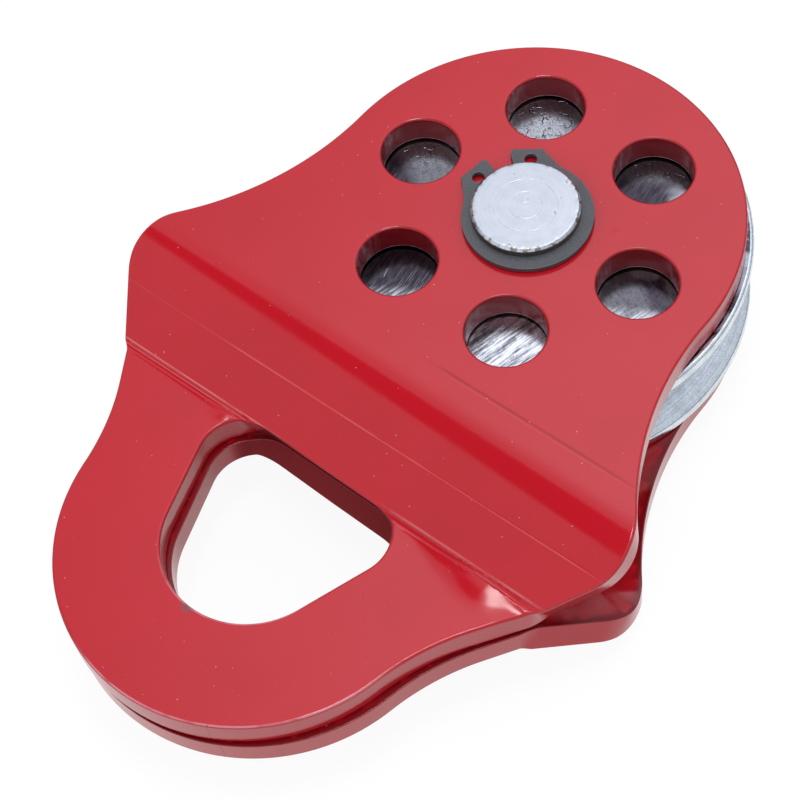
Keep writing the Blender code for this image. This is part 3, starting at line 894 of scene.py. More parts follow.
def outward(loop: np.ndarray) -> np.ndarray:
    """The direction out of the metal at each point of a loop, to the right of its run."""
    run = np.roll(loop, -1, axis=0) - np.roll(loop, 1, axis=0)
    run = run / np.linalg.norm(run, axis=1)[:, None]
    return np.stack([run[:, 1], -run[:, 0]], axis=1)


@dataclass
class Surface:
    """Points, faces, directions and named values of a mesh in the making."""

    points: np.ndarray
    faces: list[list[int]]
    normals: np.ndarray
    blank: np.ndarray
    cut: np.ndarray
    side: np.ndarray
    wall: np.ndarray

    def mesh(self, name: str) -> bpy.types.Mesh:
        """Write the arrays into a mesh.

        Args:
            name: Name of the mesh.

        Returns:
            The mesh, smooth shaded along its worked out normals.
        """
        made = bpy.data.meshes.new(name)
        made.from_pydata(self.points.tolist(), [], self.faces)
        made.polygons.foreach_set("use_smooth", np.ones(len(self.faces), dtype=bool))
        made.attributes.new("blank", "FLOAT_VECTOR", "POINT").data.foreach_set("vector", self.blank.ravel())
        for label, values in (("cut", self.cut), ("side", self.side), ("wall", self.wall)):
            made.attributes.new(label, "FLOAT", "POINT").data.foreach_set("value", values)
        made.update()
        made.normals_split_custom_set_from_vertices(self.normals.tolist())
        return made


@dataclass
class StampedSheet:
    """A sheet cut to an outline with holes, its rims rounded, then pressed to shape."""

    outline: np.ndarray
    holes: list[np.ndarray]
    thickness: float
    rim: float
    lower_rim: float
    grid: np.ndarray
    place: Place
    wall_shade_shares: Sequence[float]
    rim_steps: int = 5
    wall_steps: int = 4
    shelf: float = 0.12 * MM
    grid_margin: float = 0.2 * MM
    under_rim_shade: float = 0.95
    straight: float = 0.05
    light: Span = (0.76, -0.64)

    def section(self) -> np.ndarray:
        """The cut wall's section from the upper face to the lower one.

        A quarter circle turns from up to outwards, a straight wall follows, and a
        quarter circle turns from outwards to down. A shelf starts and ends the section.

        Returns:
            One row of inset, height and the normal's angle from up, a step.
        """
        half = self.thickness / 2
        turn = np.linspace(0.0, math.pi / 2, self.rim_steps + 1)
        curve = np.stack([1.0 - np.sin(turn), np.cos(turn) - 1.0], axis=1)
        upper = np.column_stack([curve * self.rim + [0.0, half], turn])
        levels = np.linspace(half - self.rim, self.lower_rim - half, self.wall_steps + 1)[1:-1]
        wall = np.stack([np.zeros_like(levels), levels, np.full_like(levels, math.pi / 2)], axis=1)
        lower = np.column_stack([curve * [self.lower_rim, -self.lower_rim] - [0.0, half], math.pi - turn])[::-1]
        ends = np.array([[self.rim + self.shelf, half, 0.0], [self.rim + self.shelf, -half, math.pi]])
        return np.concatenate([ends[:1], upper, wall, lower, ends[1:]])

    def inner_points(self, loops: Sequence[np.ndarray]) -> np.ndarray:
        """Grid points inside the metal, away from its edges.

        Args:
            loops: The rims' inner loops.

        Returns:
            The points.
        """
        grid = self.grid[inside(self.grid, loops)]
        edge = np.concatenate(loops)
        near = np.min(((grid[:, None, :] - edge[None, :, :]) ** 2).sum(axis=2), axis=1)
        return grid[near > self.grid_margin**2]

    def carried(self, loop: np.ndarray, section: np.ndarray) -> tuple[np.ndarray, ...]:
        """Carry the section along one loop.

        Each point lies in from the edge by its inset and at its height. Its normal is
        turned by its angle from up to outwards and on to down.

        Args:
            loop: The edge.
            section: The cut wall's section.

        Returns:
            Points and normals, one step of the section after another.
        """
        out, shape = outward(loop), (len(section), len(loop), 1)
        inset, height, angle = section.T[:, :, None, None]
        points = [loop - out * inset, np.broadcast_to(height, shape)]
        normals = [out * np.sin(angle), np.broadcast_to(np.cos(angle), shape)]
        return tuple(np.concatenate(each, axis=2).reshape(-1, 3) for each in (points, normals))

    def surface(self) -> Surface:
        """Work out the whole sheet and press it to shape.

        Walls are the section carried along each loop. Faces are triangles between the
        loops and a grid. Normals are carried to the pressed place by the slopes of the
        placing function.

        Returns:
            The finished surface.
        """
        section = self.section()
        count, lean = len(section), section[:, 2]
        spots, normals, quads, cuts, walls, tops, bottoms = ([] for _ in range(7))
        base = 0
        for loop, share in zip([self.outline, *self.holes], self.wall_shade_shares):
            size = len(loop)
            points, turned = self.carried(loop, section)
            spots.append(points)
            normals.append(turned)
            step, run = np.meshgrid(np.arange(count - 1), np.arange(size), indexing="ij")
            a, b = base + step * size + run, base + step * size + (run + 1) % size
            quads.append(np.stack([a, a + size, b + size, b], axis=-1).reshape(-1, 4))
            tops.append(np.arange(base, base + size))
            bottoms.append(np.arange(base + (count - 1) * size, base + count * size))
            turned_under = lean > math.pi / 2 + self.straight
            cuts.append(np.repeat(np.sin(lean), size))
            # Share of painted shade on the walls: the loop's share, nearly full on the lower rim that turns
            # down.
            walls.append(np.repeat(np.where(turned_under, self.under_rim_shade, np.sin(lean) * share), size))
            base += count * size
        rims = np.concatenate(spots)
        loops = [rims[index, :2] for index in tops]
        inner = self.inner_points(loops)
        triangles = self.triangles(loops, inner)
        level = np.full((len(inner), 1), self.thickness / 2)
        up = np.tile([0.0, 0.0, 1.0], (len(inner), 1))
        upper = np.concatenate([*tops, np.arange(base, base + len(inner))])
        lower = np.concatenate([*bottoms, np.arange(base + len(inner), base + 2 * len(inner))])
        rest = np.zeros(2 * len(inner))
        return self.pressed(
            np.concatenate([rims, np.hstack([inner, level]), np.hstack([inner, -level])]),
            np.concatenate([*normals, up, -up]),
            np.concatenate(quads),
            np.concatenate([upper[triangles], lower[triangles][:, ::-1]]),
            np.concatenate([*cuts, rest]),
            np.concatenate([*walls, rest]),
        )

    def triangles(self, loops: Sequence[np.ndarray], inner: np.ndarray) -> np.ndarray:
        """Triangles of one face, between its loops and its inner points.

        Args:
            loops: The rims' inner loops.
            inner: Points inside.

        Returns:
            Corner numbers, loops first.
        """
        flat = np.concatenate([*loops, inner])
        edges, base = [], 0
        for loop in loops:
            numbers = np.arange(base, base + len(loop))
            edges += np.stack([numbers, np.roll(numbers, -1)], axis=1).tolist()
            base += len(loop)
        scaled = [Vector(point) for point in (flat / MM).tolist()]
        result = delaunay_2d_cdt(scaled, edges, [], 0, 1e-5)
        origin = np.array([sources[0] for sources in result[3]])
        corners = origin[np.array([face for face in result[2] if len(face) == 3])]
        middle = flat[corners].mean(axis=1)
        corners = corners[inside(middle, loops)]
        a, b, c = flat[corners[:, 0]], flat[corners[:, 1]], flat[corners[:, 2]]
        area = (b[:, 0] - a[:, 0]) * (c[:, 1] - a[:, 1]) - (b[:, 1] - a[:, 1]) * (c[:, 0] - a[:, 0])
        corners[area < 0] = corners[area < 0][:, ::-1]
        return corners

    def pressed(
        self,
        points: np.ndarray,
        normals: np.ndarray,
        quads: np.ndarray,
        sheets: np.ndarray,
        cut: np.ndarray,
        wall: np.ndarray,
    ) -> Surface:
        """Carry flat points and normals to their pressed place.

        The place's slopes along the three blank directions are three vectors. The
        normal is the sum of their cross products, each times one part of the flat normal.

        Args:
            points: Flat points.
            normals: Flat normals.
            quads: Faces of the walls.
            sheets: Faces of the two sides.
            cut: How far each point is on a cut wall.
            wall: The same, times each loop's share of painted shade, nearly 1 on the lower rims that turn down.

        Returns:
            The finished surface.
        """
        tiny = 0.002 * MM
        slopes = [
            (self.place(points + tiny * axis) - self.place(points - tiny * axis)) / (2 * tiny)
            for axis in np.eye(3)
        ]
        crosses = [np.cross(slopes[(i + 1) % 3], slopes[(i + 2) % 3]) for i in range(3)]
        hand = np.sign((slopes[0] * crosses[0]).sum(axis=1))[:, None]
        turned = hand * sum(crosses[i] * normals[:, i, None] for i in range(3))
        turned /= np.linalg.norm(turned, axis=1)[:, None]
        if hand[0, 0] < 0:
            quads, sheets = quads[:, ::-1], sheets[:, ::-1]
        # Side: how far a wall faces the light, times its share of painted shade; the paint puts painted glints
        # on walls that face the light, weaker on walls that face away.
        values = (points, cut, normals[:, :2] @ self.light * wall, wall)
        values = (each.astype(np.float32) for each in values)
        return Surface(self.place(points), quads.tolist() + sheets.tolist(), turned, *values)


@dataclass
class Joggle:
    """The press's two bends, worked out along the flat sheet."""

    start: float = 47.0 * MM
    angle: float = math.radians(27.0)
    skew: float = PRESS_SKEW
    depth: float = 11.0 * MM
    head_radius: float = (15.6 + 3.5) * MM
    eye_radius: float = (3.0 + 3.5) * MM

    @property
    def slope(self) -> float:
        """Length of the straight slope between the bends."""
        drop = (self.head_radius + self.eye_radius) * (1 - math.cos(self.angle))
        return (self.depth - drop) / math.sin(self.angle)

    @property
    def marks(self) -> tuple[float, float, float, float]:
        """Where the two bends start and end along the flat sheet."""
        first = self.start + self.head_radius * self.angle
        second = first + self.slope
        return self.start, first, second, second + self.eye_radius * self.angle

    def along(self, x: np.ndarray, s: np.ndarray) -> np.ndarray:
        """Distance along the press's direction, a little out of square with the sheet."""
        return x * math.sin(self.skew) + s * math.cos(self.skew)

    def fold(self, points: np.ndarray) -> np.ndarray:
        """Place of points of the flat sheet on the pressed one.

        The middle plane runs straight, round an arc, down a slope, round an arc back
        and straight on. A height above it is added along the plane's own normal.

        Args:
            points: Blank x, blank distance towards the eye, height above the middle.

        Returns:
            Pressed x, y and height.
        """
        x, s, above = points.T
        start, first, second, _ = self.marks
        along = self.along(x, s)
        side = x * math.cos(self.skew) - s * math.sin(self.skew)
        head, eye, angle = self.head_radius, self.eye_radius, self.angle
        one = np.clip((along - start) / head, 0.0, angle)
        two = np.clip(along - first, 0.0, self.slope)
        three = angle - np.clip((along - second) / eye, 0.0, angle)
        four = np.maximum(along - second - eye * angle, 0.0)
        reach = np.minimum(along, start) + head * np.sin(one) + two * math.cos(angle)
        reach += eye * (math.sin(angle) - np.sin(three)) + four
        drop = head * (1 - np.cos(one)) + two * math.sin(angle) + eye * (np.cos(three) - math.cos(angle))
        tilt = one + three - angle
        forward = reach + above * np.sin(tilt)
        place_x = side * math.cos(self.skew) + forward * math.sin(self.skew)
        place_s = forward * math.cos(self.skew) - side * math.sin(self.skew)
        return np.stack([place_x, -place_s, above * np.cos(tilt) - drop], axis=1)


def step_between(value: np.ndarray, low: float, high: float) -> np.ndarray:
    """A smooth step from 0 to 1: three times the square less twice the cube of the share."""
    share = np.clip((value - low) / (high - low), 0.0, 1.0)
    return share * share * (3.0 - 2.0 * share)


@dataclass
class DieLine:
    """A fine line that the press left across the sheet."""

    along: float
    width: float
    height: float
    x_from: float
    x_to: float
    fade: float = 4.0 * MM

    def relief(self, along: np.ndarray, x: np.ndarray) -> np.ndarray:
        """A bell curve across the line, faded at both ends."""
        bell = np.exp(-(((along - self.along) / self.width) ** 2))
        start = step_between(x, self.x_from - self.fade, self.x_from)
        return self.height * bell * start * step_between(-x, -self.x_to - self.fade, -self.x_to)


@dataclass
class Dent:
    """A shallow place where the sheet leans, as the press left it beside the lower bend."""

    x: float
    along: float
    lean_x: float
    lean_along: float
    width: float
    length: float

    def relief(self, along: np.ndarray, x: np.ndarray) -> np.ndarray:
        """A slope through the middle, faded by a bell curve in both directions."""
        dx, ds = x - self.x, along - self.along
        bell = np.exp(-((dx / self.width) ** 2) - (ds / self.length) ** 2)
        return (self.lean_x * dx + self.lean_along * ds) * bell

    def grid(self) -> np.ndarray:
        """Extra points that carry the shape."""
        steps = np.linspace(-1.6, 1.6, 15)
        x, along = np.meshgrid(self.x + steps * self.width, self.along + steps * self.length)
        return np.stack([x, along], axis=-1).reshape(-1, 2)


@dataclass
class SidePlate:
    """One joggled side plate; both plates are the same pressing."""

    name: str
    node: str
    body: Body
    middle: float
    turned_over: bool
    swing: float
    thickness: float = 7.0 * MM
    head_radius: float = 49.2 * MM
    neck_radius: float = 73.8 * MM
    shoulder_width: float = 137.0 * MM
    shoulder_radius: float = 14.0 * MM
    flank_bite: float = 6.9 * MM
    flank_fillet: float = 60.0 * MM
    eye_centre: float = 97.5 * MM
    eye_outer: float = 43.5 * MM
    eye_inner: float = 20.0 * MM
    eye_side: float = math.radians(19.0)
    eye_top: float = 74.4 * MM
    eye_corner: float = 10.2 * MM
    bore_radius: float = 12.75 * MM
    hole_radius: float = 9.05 * MM
    hole_pitch: float = 31.0 * MM
    hole_count: int = 6
    rim: float = 0.65 * MM
    lower_rim: float = 0.22 * MM
    # Shares of painted shade on the outline's and the eye's walls; the round holes' walls take it in full.
    wall_shade_shares: Span = (0.20, 0.25)
    joggle: Joggle = field(default_factory=Joggle)
    lines: tuple[DieLine, ...] = (
        DieLine(43.2 * MM, 0.35 * MM, -0.045 * MM, 12 * MM, 59 * MM),
        DieLine(62.0 * MM, 0.20 * MM, 0.035 * MM, -40 * MM, 63 * MM),
        DieLine(73.6 * MM, 0.17 * MM, 0.045 * MM, -60 * MM, -18 * MM),
        DieLine(74.2 * MM, 0.15 * MM, -0.045 * MM, -60 * MM, -18 * MM),
        DieLine(74.9 * MM, 0.17 * MM, 0.035 * MM, -60 * MM, -18 * MM),
        DieLine(73.6 * MM, 0.17 * MM, 0.055 * MM, 20 * MM, 57 * MM),
        DieLine(74.2 * MM, 0.18 * MM, -0.070 * MM, 20 * MM, 57 * MM),
    )
    dents: tuple[Dent, ...] = (
        Dent(52.6 * MM, 78.9 * MM, -0.150, 0.010, 8.5 * MM, 3.2 * MM),
        Dent(-23.9 * MM, 78.0 * MM, -0.270, -0.080, 2.6 * MM, 1.5 * MM),
    )
    coarse: float = 1.3 * MM
    fine: float = 0.8 * MM
    eye_step: float = 0.9 * MM
    corner_step: float = 0.6 * MM
    bore_step: float = 1.0 * MM
    hole_step: float = 0.75 * MM
    bend_steps: Span = (0.7 * MM, 0.4 * MM)
    line_step: float = 0.08 * MM
    closest_rows: float = 0.03 * MM
    runout_start: float = 77.2 * MM
    runout_slope: float = 0.26
    runout_x: tuple[float, ...] = (-66, -58, -26, -18, 20, 27, 36, 47, 58, 64)
    runout_length: tuple[float, ...] = (0.2, 0.2, 1.4, 1.6, 0.3, 0.6, 4.7, 5.2, 1.4, 0.2)

    def outline(self) -> np.ndarray:
        """The blank's edge, from tangent arcs: head, neck, shoulders, flanks and eye ring."""
        neck = (self.head_radius + self.neck_radius, 0.0)
        shoulder_x = self.shoulder_width / 2 - self.shoulder_radius
        reach = self.neck_radius + self.shoulder_radius
        shoulder = (shoulder_x, math.sqrt(reach**2 - (neck[0] - shoulder_x) ** 2))
        neck_end = math.atan2(shoulder[1], shoulder[0] - neck[0])
        flank_reach = self.eye_outer - self.flank_bite
        to_eye = (-shoulder[0], self.eye_centre - shoulder[1])
        lean = math.acos((self.shoulder_radius - flank_reach) / math.hypot(*to_eye))
        flank = math.atan2(to_eye[1], to_eye[0]) - lean
        normal = (math.cos(flank), math.sin(flank))
        across = flank_reach + self.flank_fillet
        along = math.sqrt((self.eye_outer + self.flank_fillet) ** 2 - across**2)
        fillet_y = self.eye_centre + across * normal[1] - along * normal[0]
        fillet = (across * normal[0] + along * normal[1], fillet_y)
        ring_start = math.atan2(fillet[1] - self.eye_centre, fillet[0])
        bend = arc(shoulder, self.shoulder_radius, neck_end - math.pi, flank, self.fine)
        corner = arc(fillet, self.flank_fillet, flank + math.pi, ring_start + math.pi, self.fine)
        half = [
            arc((0.0, 0.0), self.head_radius, -math.pi / 2, 0.0, self.coarse),
            arc(neck, self.neck_radius, math.pi, neck_end, self.coarse),
            bend,
            filled_line(bend[-1], corner[0], self.fine),
            corner,
            arc((0.0, self.eye_centre), self.eye_outer, ring_start, math.pi / 2, self.coarse),
        ]
        return mirrored(clean_loop(half))

    def eye(self) -> np.ndarray:
        """The shackle opening: a round end, two leaning sides and a straight top."""
        corner_s = self.eye_top + self.eye_corner
        lean = math.sin(self.eye_side) * (corner_s - self.eye_centre)
        corner_x = (self.eye_inner - self.eye_corner - lean) / math.cos(self.eye_side)
        corner = arc((corner_x, corner_s), self.eye_corner, -math.pi / 2, self.eye_side, self.corner_step)
        round_end = arc((0.0, self.eye_centre), self.eye_inner, self.eye_side, math.pi / 2, self.eye_step)
        top = filled_line(np.array([0.0, self.eye_top]), corner[0], self.eye_step)
        side = filled_line(corner[-1], round_end[0], self.eye_step)
        half = clean_loop([np.array([[0.0, self.eye_top]]), top, corner, side, round_end])
        return mirrored(half)[::-1]

    def runout(self, along: np.ndarray, x: np.ndarray) -> np.ndarray:
        """The lower bend's uneven fillet: it rises fast at the crease and falls as a square.

        Args:
            along: Distance along the press's direction.
            x: Distance across the sheet.

        Returns:
            Height to add.
        """
        length = np.interp(x, np.array(self.runout_x) * MM, np.array(self.runout_length) * MM)
        share = np.clip((along - self.runout_start) / length, 0.0, 1.0)
        rise = step_between(along, self.runout_start - 1.0 * MM, self.runout_start)
        return self.runout_slope * length / 2 * (1.0 - share) ** 2 * rise

    def relief(self, points: np.ndarray) -> np.ndarray:
        """Press marks: added to the height on the side that the press's upper die touched."""
        x, s, above = points.T
        along = self.joggle.along(x, s)
        upper = np.clip(0.5 + above / self.thickness, 0.0, 1.0)
        marks = sum(mark.relief(along, x) for mark in (*self.lines, *self.dents))
        marks = marks + self.runout(along, x)
        return points + np.stack([np.zeros_like(x), np.zeros_like(x), marks * upper], axis=1)

    def place(self, points: np.ndarray) -> np.ndarray:
        """Pressed and put in its place on the block."""
        pressed = self.joggle.fold(self.relief(points))
        if self.turned_over:
            pressed = pressed * [-1.0, 1.0, -1.0]
        return turned_about_axle(pressed, self.swing, self.middle)

    def grid(self) -> np.ndarray:
        """Points inside the sheet, close together where the press bent or marked it."""
        start, first, second, end = self.joggle.marks
        upper_step, lower_step = self.bend_steps
        rows = [
            np.arange(-50, 150, 3.0) * MM,
            np.arange(start - 2 * MM, first + 2 * MM, upper_step),
            np.arange(second - 1 * MM, end + 8 * MM, lower_step),
            *[np.arange(-5, 6) * 0.4 * line.width + line.along for line in self.lines[:2]],
            np.arange(self.lines[2].along - 0.5 * MM, self.runout_start + 0.4 * MM, self.line_step),
        ]
        merged = np.sort(np.concatenate(rows))
        merged = merged[np.concatenate([[True], np.diff(merged) > self.closest_rows])]
        columns = np.arange(-70, 70.1, 2.5) * MM
        x, along = np.meshgrid(columns, merged, indexing="xy")
        grid = np.stack([x, along], axis=-1).reshape(-1, 2)
        grid = np.concatenate([grid, *(dent.grid() for dent in self.dents)])
        skewed = (grid[:, 1] - grid[:, 0] * math.sin(self.joggle.skew)) / math.cos(self.joggle.skew)
        return np.stack([grid[:, 0], skewed], axis=1)

    def build(self, paint: bpy.types.Material) -> bpy.types.Object:
        """Make the plate, paint it and set it on its body.

        Args:
            paint: Its finish.

        Returns:
            The piece.
        """
        pitch = 2 * math.pi / self.hole_count
        holes = [self.eye(), round_hole(0.0, 0.0, self.bore_radius, self.bore_step)]
        for i in range(self.hole_count):
            holes.append(round_hole(self.hole_pitch, pitch * i, self.hole_radius, self.hole_step))
        sheet = StampedSheet(
            self.outline(),
            holes,
            self.thickness,
            self.rim,
            self.lower_rim,
            self.grid(),
            self.place,
            [*self.wall_shade_shares, *[1.0] * (len(holes) - 1)],
        )
        piece = add_piece(self.name, sheet.surface().mesh(self.name), paint)
        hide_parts(self.node)
        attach(piece, self.body.value)
        return piece


@dataclass
class RetainingRing:
    """An external retaining ring: an eccentric band with two lugs and plier holes."""

    name: str
    node: str
    middle: float
    gap_angle: float
    turned_over: bool
    inner: float = 12.10 * MM
    thickness: float = 1.2 * MM
    outer: float = 14.95 * MM
    eccentricity: float = 0.9 * MM
    half_gap: float = math.radians(9.5)
    lug_end: float = math.radians(37.0)
    lug_foot: float = math.radians(54.0)
    lug_radius: float = 17.8 * MM
    lug_corner: float = 0.8 * MM
    hole_diameter: float = 2.9 * MM
    hole_radius: float = 14.6 * MM
    hole_angle: float = math.radians(26.0)
    rim: float = 0.12 * MM
    arc_step: float = 0.5 * MM
    lug_step: float = 0.35 * MM
    hole_step: float = 0.25 * MM

    def outline(self) -> np.ndarray:
        """The ring's edge: two lugs joined by an eccentric arc outside and a round one inside."""
        foot_turn = math.asin(self.eccentricity * math.sin(self.lug_foot) / self.outer)
        sweep = self.lug_foot - foot_turn
        turn = self.lug_corner / self.lug_radius
        corners = [
            (self.inner, self.half_gap),
            (self.lug_radius - self.lug_corner, self.half_gap),
            (self.lug_radius, self.half_gap + turn),
            (self.lug_radius, self.lug_end - turn),
            (self.lug_radius - self.lug_corner, self.lug_end),
        ]
        lug = np.array([(radius * math.cos(angle), radius * math.sin(angle)) for radius, angle in corners])
        outside = arc((-self.eccentricity, 0.0), self.outer, sweep, 2 * math.pi - sweep, self.arc_step)
        runs = [lug[:1]]
        for first, last in zip(lug, [*lug[1:], outside[0]]):
            runs += [filled_line(first, np.asarray(last), self.lug_step), np.asarray(last)[None]]
        half = clean_loop(runs)[:-1]
        inner = arc((0.0, 0.0), self.inner, 2 * math.pi - self.half_gap, self.half_gap, self.arc_step)
        return clean_loop([half, outside, (half * [1.0, -1.0])[::-1], inner[1:-1]])

    def place(self, points: np.ndarray) -> np.ndarray:
        """Turned to its place on the pin."""
        flat = points * [1.0, -1.0, -1.0] if self.turned_over else points
        return turned_about_axle(flat, self.gap_angle, self.middle)

    def build(self, steel: bpy.types.Material) -> bpy.types.Object:
        """Make the ring and set it on the axle.

        Args:
            steel: Its finish.

        Returns:
            The piece.
        """
        angles = (self.hole_angle, -self.hole_angle)
        radius = self.hole_diameter / 2
        holes = [round_hole(self.hole_radius, angle, radius, self.hole_step) for angle in angles]
        steps = np.arange(-19, 19.1, 1.0) * MM
        grid = np.stack(np.meshgrid(steps, steps), axis=-1).reshape(-1, 2)
        shares = [1.0] * (len(holes) + 1)
        sheet = StampedSheet(
            self.outline(),
            holes,
            self.thickness,
            self.rim,
            self.rim,
            grid,
            self.place,
            shares,
            rim_steps=3,
            wall_steps=2,
            shelf=0.05 * MM,
        )
        piece = add_piece(self.name, sheet.surface().mesh(self.name), steel)
        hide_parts(self.node)
        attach(piece, Body.AXLE.value)
        return piece


def add_piece(name: str, mesh: bpy.types.Mesh, finish: bpy.types.Material) -> bpy.types.Object:
    """Link a mesh with its finish as an object at the origin."""
    mesh.materials.append(finish)
    piece = bpy.data.objects.new(name, mesh)
    bpy.context.scene.collection.objects.link(piece)
    return piece


def polygon_heights(mesh: bpy.types.Mesh) -> np.ndarray:
    """How far up each polygon of a mesh faces, from -1 to 1."""
    normals = np.empty(len(mesh.polygons) * 3)
    mesh.polygons.foreach_get("normal", normals)
    return normals.reshape(-1, 3)[:, 2]


def rounded_section(corners: Sequence[tuple[float, float, float]], steps: int = 5) -> np.ndarray:
    """Round the corners of a closed section.

    Each corner with a radius becomes an arc that touches both of its sides: the arc's
    points are the corner's tangent circle at evenly spaced angles.

    Args:
        corners: Radius from the axis, height and rounding of each corner.
        steps: Pieces of each arc.

    Returns:
        The section's points.
    """
    points = np.array([corner[:2] for corner in corners])
    made = []
    for i, (x, z, rounding) in enumerate(corners):
        here = np.array([x, z])
        back = points[i - 1] - here
        ahead = points[(i + 1) % len(points)] - here
        back, ahead = back / np.linalg.norm(back), ahead / np.linalg.norm(ahead)
        opening = math.acos(float(np.clip(back @ ahead, -1.0, 1.0)))
        if rounding <= 0 or opening > math.radians(176):
            made.append(here[None])
            continue
        reach = rounding / math.tan(opening / 2)
        first, last = here + back * reach, here + ahead * reach
        bisector = (back + ahead) / np.linalg.norm(back + ahead)
        centre = here + bisector * rounding / math.sin(opening / 2)
        start = math.atan2(*(first - centre)[::-1])
        sweep = (math.atan2(*(last - centre)[::-1]) - start + math.pi) % (2 * math.pi) - math.pi
        angles = start + sweep * np.linspace(0.0, 1.0, steps + 1)
        made.append(centre + rounding * np.stack([np.cos(angles), np.sin(angles)], axis=1))
    return np.concatenate(made)


@dataclass
class Turning:
    """A closed section spun round the axle's axis."""

    section: np.ndarray
    segments: int = 256
    wobble: Callable[[np.ndarray, np.ndarray, np.ndarray], tuple[np.ndarray, np.ndarray]] | None = None
    sharp: float = math.radians(30)

    def mesh(self, name: str) -> bpy.types.Mesh:
        """Work out the spun surface.

        A point is the section's radius turned by an angle, at the section's height.
        Points on the axis are joined into one.

        Args:
            name: Name of the mesh.

        Returns:
            The mesh.
        """
        count = len(self.section)
        angles = np.arange(self.segments) * 2 * math.pi / self.segments
        radius, angle = np.meshgrid(self.section[:, 0], angles, indexing="ij")
        height = np.broadcast_to(self.section[:, 1, None], radius.shape)
        if self.wobble is not None:
            radius, height = self.wobble(radius, height, angle)
        points = np.stack([radius * np.cos(angle), radius * np.sin(angle), height], axis=-1)
        row, run = np.meshgrid(np.arange(count), np.arange(self.segments), indexing="ij")
        following = (row + 1) % count
        beside = (run + 1) % self.segments
        corners = [row * self.segments + run, row * self.segments + beside]
        corners += [following * self.segments + beside, following * self.segments + run]
        quads = np.stack(corners, axis=-1).reshape(-1, 4)
        on_axis = (self.section[:, 0] < 1e-9)[row]
        joined = row * self.segments + np.where(on_axis, 0, run)
        used, numbers = np.unique(joined.ravel()[quads], return_inverse=True)
        faces = [list(dict.fromkeys(quad)) for quad in numbers.reshape(quads.shape).tolist()]
        faces = [face for face in faces if len(face) > 2]
        made = bpy.data.meshes.new(name)
        made.from_pydata(points.reshape(-1, 3)[used].tolist(), [], faces)
        made.polygons.foreach_set("use_smooth", np.ones(len(faces), dtype=bool))
        made.update()
        made.set_sharp_from_angle(angle=self.sharp)
        return made


@dataclass
class Sheave:
    """The grooved wheel."""

    bottom: float = 11.45 * MM
    width: float = 21.4 * MM
    radius: float = 51.0 * MM
    bore: float = 16.3 * MM
    lip: float = 3.2 * MM
    groove_radius: float = 5.5 * MM
    flank: float = math.radians(17.5)
    lip_round: float = 0.9 * MM
    bore_round: float = 0.5 * MM
    side_rings: Span = (1.2 * MM, 8.0 * MM)
    bore_rings: Span = (8.0 * MM, 0.8 * MM)
    throat_step: float = 0.5 * MM
    segments: int = 288
    flat_limit: float = 0.999

    def section(self) -> np.ndarray:
        """Flat sides, rounded lips, leaning flanks and a round throat, from the middle outwards."""
        half = self.width / 2
        edge = half - self.lip
        rise = (edge - self.groove_radius * math.cos(self.flank)) / math.tan(self.flank)
        centre = self.radius - rise + self.groove_radius * math.sin(self.flank)
        sweep = math.pi / 2 - self.flank
        throat = arc((centre, 0.0), self.groove_radius, math.pi + sweep, math.pi - sweep, self.throat_step)
        upper = [
            (self.radius, edge, self.lip_round),
            (self.radius, half, self.lip_round),
            *[(self.radius - inset, half, 0.0) for inset in self.side_rings],
            *[(self.bore + inset, half, 0.0) for inset in self.bore_rings],
            (self.bore, half, self.bore_round),
        ]
        lower = [(radius, -height, rounding) for radius, height, rounding in reversed(upper)]
        corners = [*lower, *[(x, z, 0.0) for x, z in throat], *upper]
        return rounded_section(corners) + [0.0, self.bottom + half]

    def build(self, turned: bpy.types.Material, ground: bpy.types.Material) -> bpy.types.Object:
        """Make the wheel and set it on its body.

        Args:
            turned: Finish of the groove, lips and bore.
            ground: Finish of the flat sides.

        Returns:
            The piece.
        """
        mesh = Turning(self.section(), self.segments).mesh("sheave_wheel")
        piece = add_piece("sheave_wheel", mesh, turned)
        mesh.materials.append(ground)
        flat = np.abs(polygon_heights(mesh)) > self.flat_limit
        mesh.polygons.foreach_set("material_index", flat.astype(np.int32))
        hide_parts("sheave")
        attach(piece, Body.SHEAVE.value)
        return piece


